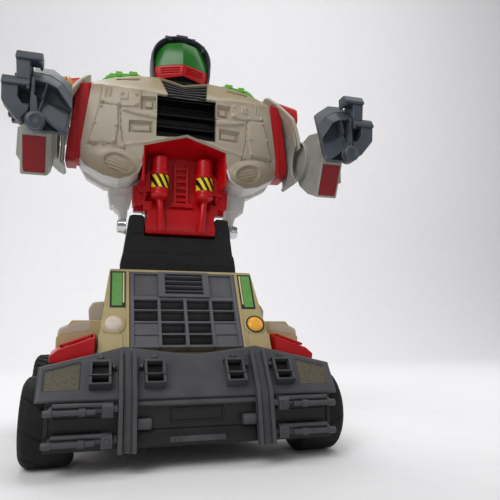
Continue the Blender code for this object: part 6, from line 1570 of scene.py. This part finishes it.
def superellipse(half_y, half_z, power, count=72):
    """A rounded rectangle in (y, z): both half sizes carried by cosine and sine to a low power."""
    turn = np.linspace(0, 2 * np.pi, count, endpoint=False)
    c, s = np.cos(turn), np.sin(turn)
    y = half_y * np.sign(c) * np.abs(c) ** (2 / power)
    return np.stack([y, half_z * np.sign(s) * np.abs(s) ** (2 / power)], 1)


def slab_ring(x, lean, scale):
    """The slab's outline at one place out from the middle, thicker toward its foot by the lean."""
    ring = superellipse(17.4, 32.0, 5.0) * scale + SLAB_MIDDLE
    return np.insert(ring, 0, x + lean * (SLAB_TOP - ring[:, 1]) / SLAB_FALL, axis=1)


slab = loft([slab_ring(84.5, 0, 1.0), slab_ring(84.7, 7.0, 1.0), slab_ring(85.4, 7.2, 0.96)])
# The slabs take the darker red: painted shade for the shade that the pads cast on them
make_pair("shoulder_slab", slab, red_painted_shade, "{side}_arm", "shoulder_hub", slot="red_plastic",
          bevel=0, crease=25)

# %% [markdown]
# Over the slab hangs a thin beige pad, open in front so that its edge and its dark inside show. It
# is a sheet over two shares, the way down and the way back, with a raised field and a rib across.

# %% Shoulder pads
PAD_TOP_Z, PAD_DROP, PAD_WALL = 295.6, 57.6, 2.4
PAD_ROOT_X, PAD_REACH = 78.0, 20.0
# The front edge's depth at the top, how far it swings forward, and the share where it is there
PAD_FRONT_Y, PAD_SWING, SWING_END, PAD_BACK_Y = 1.0, 31.0, 0.55, 24.0


def pad_out(down):
    """How far out the pad is, by a power of the way down."""
    return PAD_ROOT_X + PAD_REACH * (1 - (1 - down) ** 1.6)


def on_pad(down, back, rise):
    """The pad: out and down together, its front edge swinging forward, raised along its slope."""
    front = PAD_FRONT_Y - PAD_SWING * np.clip(down / SWING_END, 0, 1) ** 0.8
    lean = 1 - 0.75 * down
    x = pad_out(down) + rise * (1 - 0.6 * lean)
    y = front + (PAD_BACK_Y - front) * back
    return np.stack([x, y, PAD_TOP_Z - PAD_DROP * down + rise * lean * 0.6], -1)


pad_down, pad_back = np.meshgrid(np.linspace(0, 1, 49), np.linspace(0, 1, 33), indexing="ij")
pad_rise = 0.9 * rectangle(pad_back, pad_down, 0.26, 0.86, 0.3, 0.9, 0.05)
pad = sheet(on_pad(pad_down, pad_back, pad_rise + 0.7 * (np.abs(pad_down - 0.2) < 0.02)))
for shell in make_pair("pad_shell", pad, beige, "{side}_arm", "shoulder_pad", slot="beige_plastic",
                       bevel=0, crease=40):
    add_wall(shell, PAD_WALL)

# %% [markdown]
# Each pad carries a red knob moulded on top, drawn in toward its end, and a strip of printed foil
# low on its outside. Only the robot's right knob shows a label, two orange triangles on its front.

# %% Knobs and foil
KNOB_Z, LABEL_DEPTH, FOIL_WALL = 279.0, (-10.7, -9.0), 0.2


def knob_ring(x, scale, drop=0.0):
    """The knob's rounded outline at one place out, drawn in by a scale and lowered by the drop."""
    outline = superellipse(11.0, 9.6, 4.0, 40) * scale + (0.0, KNOB_Z - drop)
    return np.insert(outline, 0, x, axis=1)


knob_root = knob_ring(0.0, 1.0)
knob_root[:, 0] = pad_out((PAD_TOP_Z - knob_root[:, 2]) / PAD_DROP) - 0.8
knob = loft([knob_root, knob_ring(101.6, 0.84, 2.4), knob_ring(103.6, 0.78, 2.6),
             knob_ring(104.4, 0.66, 2.8)])
LABEL_FIELDS = [[(88.4, 279.0), (96.6, 278.6), (92.0, 285.6)],
                [(93.4, 285.4), (97.6, 279.4), (98.6, 284.6)]]
knob_label = join(*[prism(field, "Y", *LABEL_DEPTH) for field in LABEL_FIELDS])
strip_down, strip_back = np.meshgrid(np.linspace(0.62, 0.96, 17), np.linspace(0.04, 0.2, 5),
                                     indexing="ij")
strip = sheet(on_pad(strip_down, strip_back, 0.3))
make_pair("pad_knob", knob, red, "{side}_arm", slot="red_plastic", bevel=0, crease=40)
for foil in make_pair("pad_strip", strip, red_foil, "{side}_arm", slot="red_plastic", bevel=0):
    add_wall(foil, FOIL_WALL)
make("right_pad_label", mirrored(knob_label), orange_foil, "right_arm", slot="amber_lens",
     bevel=0.3)

# %% [markdown]
# Under the pad the arm goes on as a sleeve, an outer half shell that shows its inside to the front.
# It is a sheet over back and height: its front edge is bitten out by a circle round the elbow, its
# rear corner is rounded up and its foot is turned in.

# %% Upper arms
ELBOW_Y, ELBOW_Z = -26.0, 228.0
BITE, BITE_Y, BITE_Z = 15.5, ELBOW_Y - 7.5, ELBOW_Z - 2.5
SLEEVE_FRONT_Y, SLEEVE_BACK_Y, SLEEVE_FOOT, SLEEVE_TOP, SLEEVE_WALL = -29.0, 22.0, 207.0, 252.0, 1.8
back_share, up_share = np.meshgrid(np.linspace(0, 1, 25), np.linspace(0, 1, 41), indexing="ij")
sleeve_low = SLEEVE_FOOT + 13.0 * np.clip((back_share - 0.45) / 0.55, 0, 1) ** 2.2
sleeve_z = sleeve_low + (SLEEVE_TOP - sleeve_low) * up_share
bite = BITE_Y + np.sqrt(np.clip(BITE ** 2 - (sleeve_z - BITE_Z) ** 2, 0, None))
bite = np.maximum(bite, SLEEVE_FRONT_Y)
sleeve_y = bite + (SLEEVE_BACK_Y - bite) * back_share
under_pad = pad_out(np.clip((PAD_TOP_Z - sleeve_z) / PAD_DROP, 0, 1)) - 2.8
turned_in = 3.0 * np.exp(-(sleeve_z - sleeve_low) / 1.6)
flare = np.clip((back_share - 0.5) / 0.5, 0, 1) ** 2 * np.clip((241 - sleeve_z) / 8, 0, 1)
sleeve_x = np.minimum(95.2, under_pad) - turned_in + 10.5 * flare
sleeve = sheet(np.stack([sleeve_x, sleeve_y, sleeve_z], -1))
for shell in make_pair("upper_arm_shell", sleeve, arm_grey, "{side}_arm", "upper_arm",
                       slot="beige_plastic", bevel=0, crease=50):
    add_wall(shell, SLEEVE_WALL)

# %% [markdown]
# The forearm is a side view carried across, with a round end in the sleeve's bite, a hub at the
# elbow, a raised field on its outside and a wrist in front. A panel of red foil lies on the slope
# under the wrist.

# %% Forearms
WRIST_X, WRIST_Z = 108.9, 228.0
ELBOW = (0.0, ELBOW_Y, ELBOW_Z)
side_view = np.array([(-67.0, 216.0), (-67.0, 240.0), (-42.0, 246.4), (-24.0, 244.0),
                      (-13.0, 237.0), (-9.6, 228.0), (-12.0, 218.0), (-20.0, 207.4), (-36.0, 197.0),
                      (-54.0, 190.0)])
hub_of_view = side_view.mean(0)


def forearm_ring(x, scale):
    """The side view at one place out, scaled about its middle."""
    return np.insert(hub_of_view + (side_view - hub_of_view) * scale, 0, x, axis=1)


forearm = loft([forearm_ring(100.0, 0.97), forearm_ring(101.0, 1.0), forearm_ring(117.2, 1.0),
                forearm_ring(118.0, 0.97)])
forearm_sill = block((101.8, 116.0), (-67.8, -64.0), (214.0, 219.4))
outer_hub = turned([(9.6, 117.0), (9.6, 118.8), (8.0, 119.2), (7.4, 118.4), (0.4, 118.4)], "X",
                   ELBOW, 36)
outer_field = prism([(-58.0, 202.0), (-58.0, 222.0), (-36.0, 228.0), (-36.0, 204.0)], "X", 117.0,
                    120.6)
inner_hub = turned([(16.2, 100.6), (16.2, 97.0), (15.5, 96.4), (14.8, 96.8), (14.6, 99.6),
                    (0.5, 99.6)], "X", ELBOW, 52)
wrist = turned([(11.5, -69.0), (12.5, -66.0)], "Y", (WRIST_X, 0.0, WRIST_Z), 36)
forearm = join(forearm, forearm_sill, outer_hub, outer_field, inner_hub, wrist)
slope_up = np.array([0.0, -13.0, 26.0]) / math.hypot(13.0, 26.0)
slope_out = np.array([0.0, -26.0, -13.0]) / math.hypot(13.0, 26.0)
panel_outline = np.array([(-7.2, 1.8), (6.6, 1.8), (7.2, 5.0), (7.4, 26.4), (-7.4, 26.4)])
panel_middle = np.array([0.0, 14.1])
panel_field = panel_middle + (panel_outline - panel_middle) * (0.9, 0.94)
panel = join(prism(panel_outline, "Z", 0.0, 0.3), prism(panel_field, "Z", 0.2, 0.45))
panel = sloped(panel, (WRIST_X, -54.0, 190.0), slope_up, slope_out)
make_pair("forearm_shell", forearm, arm_grey, "{side}_lower_arm", "forearm", slot="beige_plastic",
          bevel=0.8, steps=3)
make_pair("forearm_panel", panel, red_foil, "{side}_lower_arm", slot="red_plastic", bevel=0)

# %% [markdown]
# ## The claws
#
# Each fist is moulded in two slate grey halves that open on a pin low down. The inner half is a
# faceted palm with a triangular hollow. Its face is a carved block; behind it a heel tapers to the
# wrist.

# %% Palms
PALM_WALL_Y, PALM_FACE_Y = -94.4, -103.4
FIST_Z = 230.0
WRIST_AXIS = np.array([WRIST_X, FIST_Z])
PALM = [(83.9, 221.0), (86.0, 203.4), (90.5, 202.6), (104.0, 203.6), (107.8, 206.6), (108.1, 222.0),
        (108.1, 237.4), (98.4, 235.9), (93.1, 233.3)]
PALM_BACK = [(85.4, 243.0), (91.6, 214.0), (94.5, 208.6), (104.0, 208.6), (107.8, 210.4),
             (108.1, 226.0), (108.1, 252.6), (97.0, 252.2), (88.4, 245.8)]
HOLLOW = [(85.6, 220.6), (99.5, 224.4), (105.6, 226.4), (105.6, 235.6), (98.2, 234.2),
          (93.2, 231.6)]
FACET = [(86.4, 205.0), (95.0, 208.4), (103.4, 217.6), (104.4, 225.4), (99.5, 224.2), (84.8, 219.2)]
POCKET = [(91.6, 204.6), (102.6, 205.0), (103.4, 213.5)]


def palm_relief(x, z):
    """Chamfered rim, a triangular hollow under the top, a slanted facet below, a ridge across."""
    out = -1.0 * np.clip(1 - depth_in(x, z, PALM) / 1.6, 0, 1)
    rib = step_in(groove(x, z, [(98.4, 237.0), (104.0, 212.0)], 2.6) - 0.5, 0.4)
    out -= 8.0 * step_in(depth_in(x, z, HOLLOW), 0.9) * (1 - rib)
    slant = np.clip((z - 204.0) / 20, 0.05, 1)
    out -= 5.0 * step_in(depth_in(x, z, FACET), 0.7) * slant * (1 - 0.6 * rib)
    return out - 5.0 * step_in(depth_in(x, z, POCKET), 0.8)


def heel_ring(outline, share, depth):
    """An outline of the fist drawn in toward the wrist's axis by a share."""
    return np.insert(WRIST_AXIS + (np.array(outline) - WRIST_AXIS) * share, 1, depth, axis=1)


palm_middle = (np.array(PALM) + PALM_BACK) / 2
palm = carved(PALM, PALM_WALL_Y, PALM_FACE_Y, palm_relief, 190, 46, palm_middle)
heel = loft([heel_ring(PALM_BACK, 0.5, -67.4), heel_ring(PALM_BACK, 0.55, -74.0),
             heel_ring(PALM_BACK, 0.97, -84.6), heel_ring(PALM_BACK, 1.0, -86.2),
             heel_ring(palm_middle, 1.0, -94.8)])
cuff = turned([(9.6, -67.4), (9.6, -76.0), (11.0, -80.0), (11.0, -87.8)], "Y",
              (WRIST_X, 0.0, FIST_Z), 36)
cuff = join(cuff, block((106.0, 120.0), (-88.0, -84.0), (214.0, 246.0)))
pin = turned([(5.6, -99.0), (5.6, -103.6), (5.0, -104.2), (5.0, -106.2), (5.6, -106.6),
              (5.6, -108.0), (4.6, -109.0), (3.0, -109.4), (2.2, -108.6), (0.3, -108.4)], "Y",
             (104.4, 0.0, 208.8), 36)
make_pair("palm_shell", join(palm, heel, cuff, pin), slate, "{side}_hand", "fist_palm",
          slot="dark_grey_plastic", bevel=0.35, crease=28)

# %% [markdown]
# The outer half of the fist carries two hooked fingers, one above the other. Each is an upright
# limb with a bar across and a short lip: outlines carried through the fist's depth, tied together
# by blocks behind.

# %% Fingers
BAR_FRONT_Y, BAR_BACK_Y, BAR_CHAMFER = -104.4, -93.0, 3.0


def hook(limb, bar, lip):
    """A finger: an upright limb, a bar whose face slopes back over its top, and a short lip."""
    left, right, foot, top = bar
    bar_view = [(BAR_FRONT_Y, foot), (BAR_FRONT_Y, foot + 1.6), (BAR_FRONT_Y + BAR_CHAMFER, top),
                (BAR_BACK_Y, top), (BAR_BACK_Y, foot)]
    crossbar = prism(bar_view, "X", left, right)
    return join(prism(limb, "Y", -103.0, -92.6), crossbar, prism(lip, "Y", -103.8, -93.4))


lower_limb = [(113.0, 210.0), (115.0, 210.0), (124.2, 221.4), (124.8, 232.2), (115.2, 232.2),
              (115.2, 224.6), (112.6, 220.4), (108.7, 219.0), (108.9, 216.0)]
upper_limb = [(108.8, 236.0), (116.6, 236.0), (117.6, 249.0), (109.2, 249.0)]
lower_lip = [(108.8, 233.0), (108.8, 229.4), (110.4, 229.4), (111.2, 233.0)]
upper_lip = [(102.4, 250.0), (102.8, 246.6), (104.2, 246.6), (104.8, 250.0)]
fingers = join(hook(lower_limb, (108.8, 125.0, 231.4, 238.0), lower_lip),
               hook(upper_limb, (102.4, 117.9, 248.4, 254.8), upper_lip),
               block((108.8, 121.6), (-92.8, -88.4), (215.6, 240.0)),
               block((108.8, 117.4), (-92.8, -88.4), (236.0, 250.0)),
               block((108.9, 116.0), (-99.0, -89.0), (215.6, 222.0)))
make_pair("finger_shell", fingers, slate, "{side}_claw", "fist_fingers", slot="dark_grey_plastic",
          bevel=0.7, steps=2)

# %% [markdown]
# ## The workings and the underside
#
# The pan, the battery door, the switch and everything inside the truck keep the shapes they have in
# the CAD file; they only get their materials here: plastic for pan and door, steel for shafts and
# motor cans, natural nylon for the gears, film round the cells and green mask on the board.

# %% Materials on the CAD nodes
FINISH = {"dark_grey_plastic": dark_grey, "beige_plastic": beige, "red_plastic": red,
          "black_plastic": black, "tyre_rubber": tyre_rubber, "chrome_cap": chrome, "steel": steel,
          "nylon": nylon, "green_visor": visor_green, "lime_plastic": lime, "amber_lens": amber,
          "cream_lens": cream, "circuit_board": board_green, "battery_wrap": cell_wrap}
cad_slots = [spot for node in scene.objects if node.type == "MESH" for spot in node.material_slots
             if spot.material]
dressed = 0
for spot in cad_slots:
    slot_name = spot.material.name.split(".")[0]
    if slot_name in FINISH:
        spot.material = FINISH[slot_name]
        dressed += 1
print("slots dressed:", dressed)
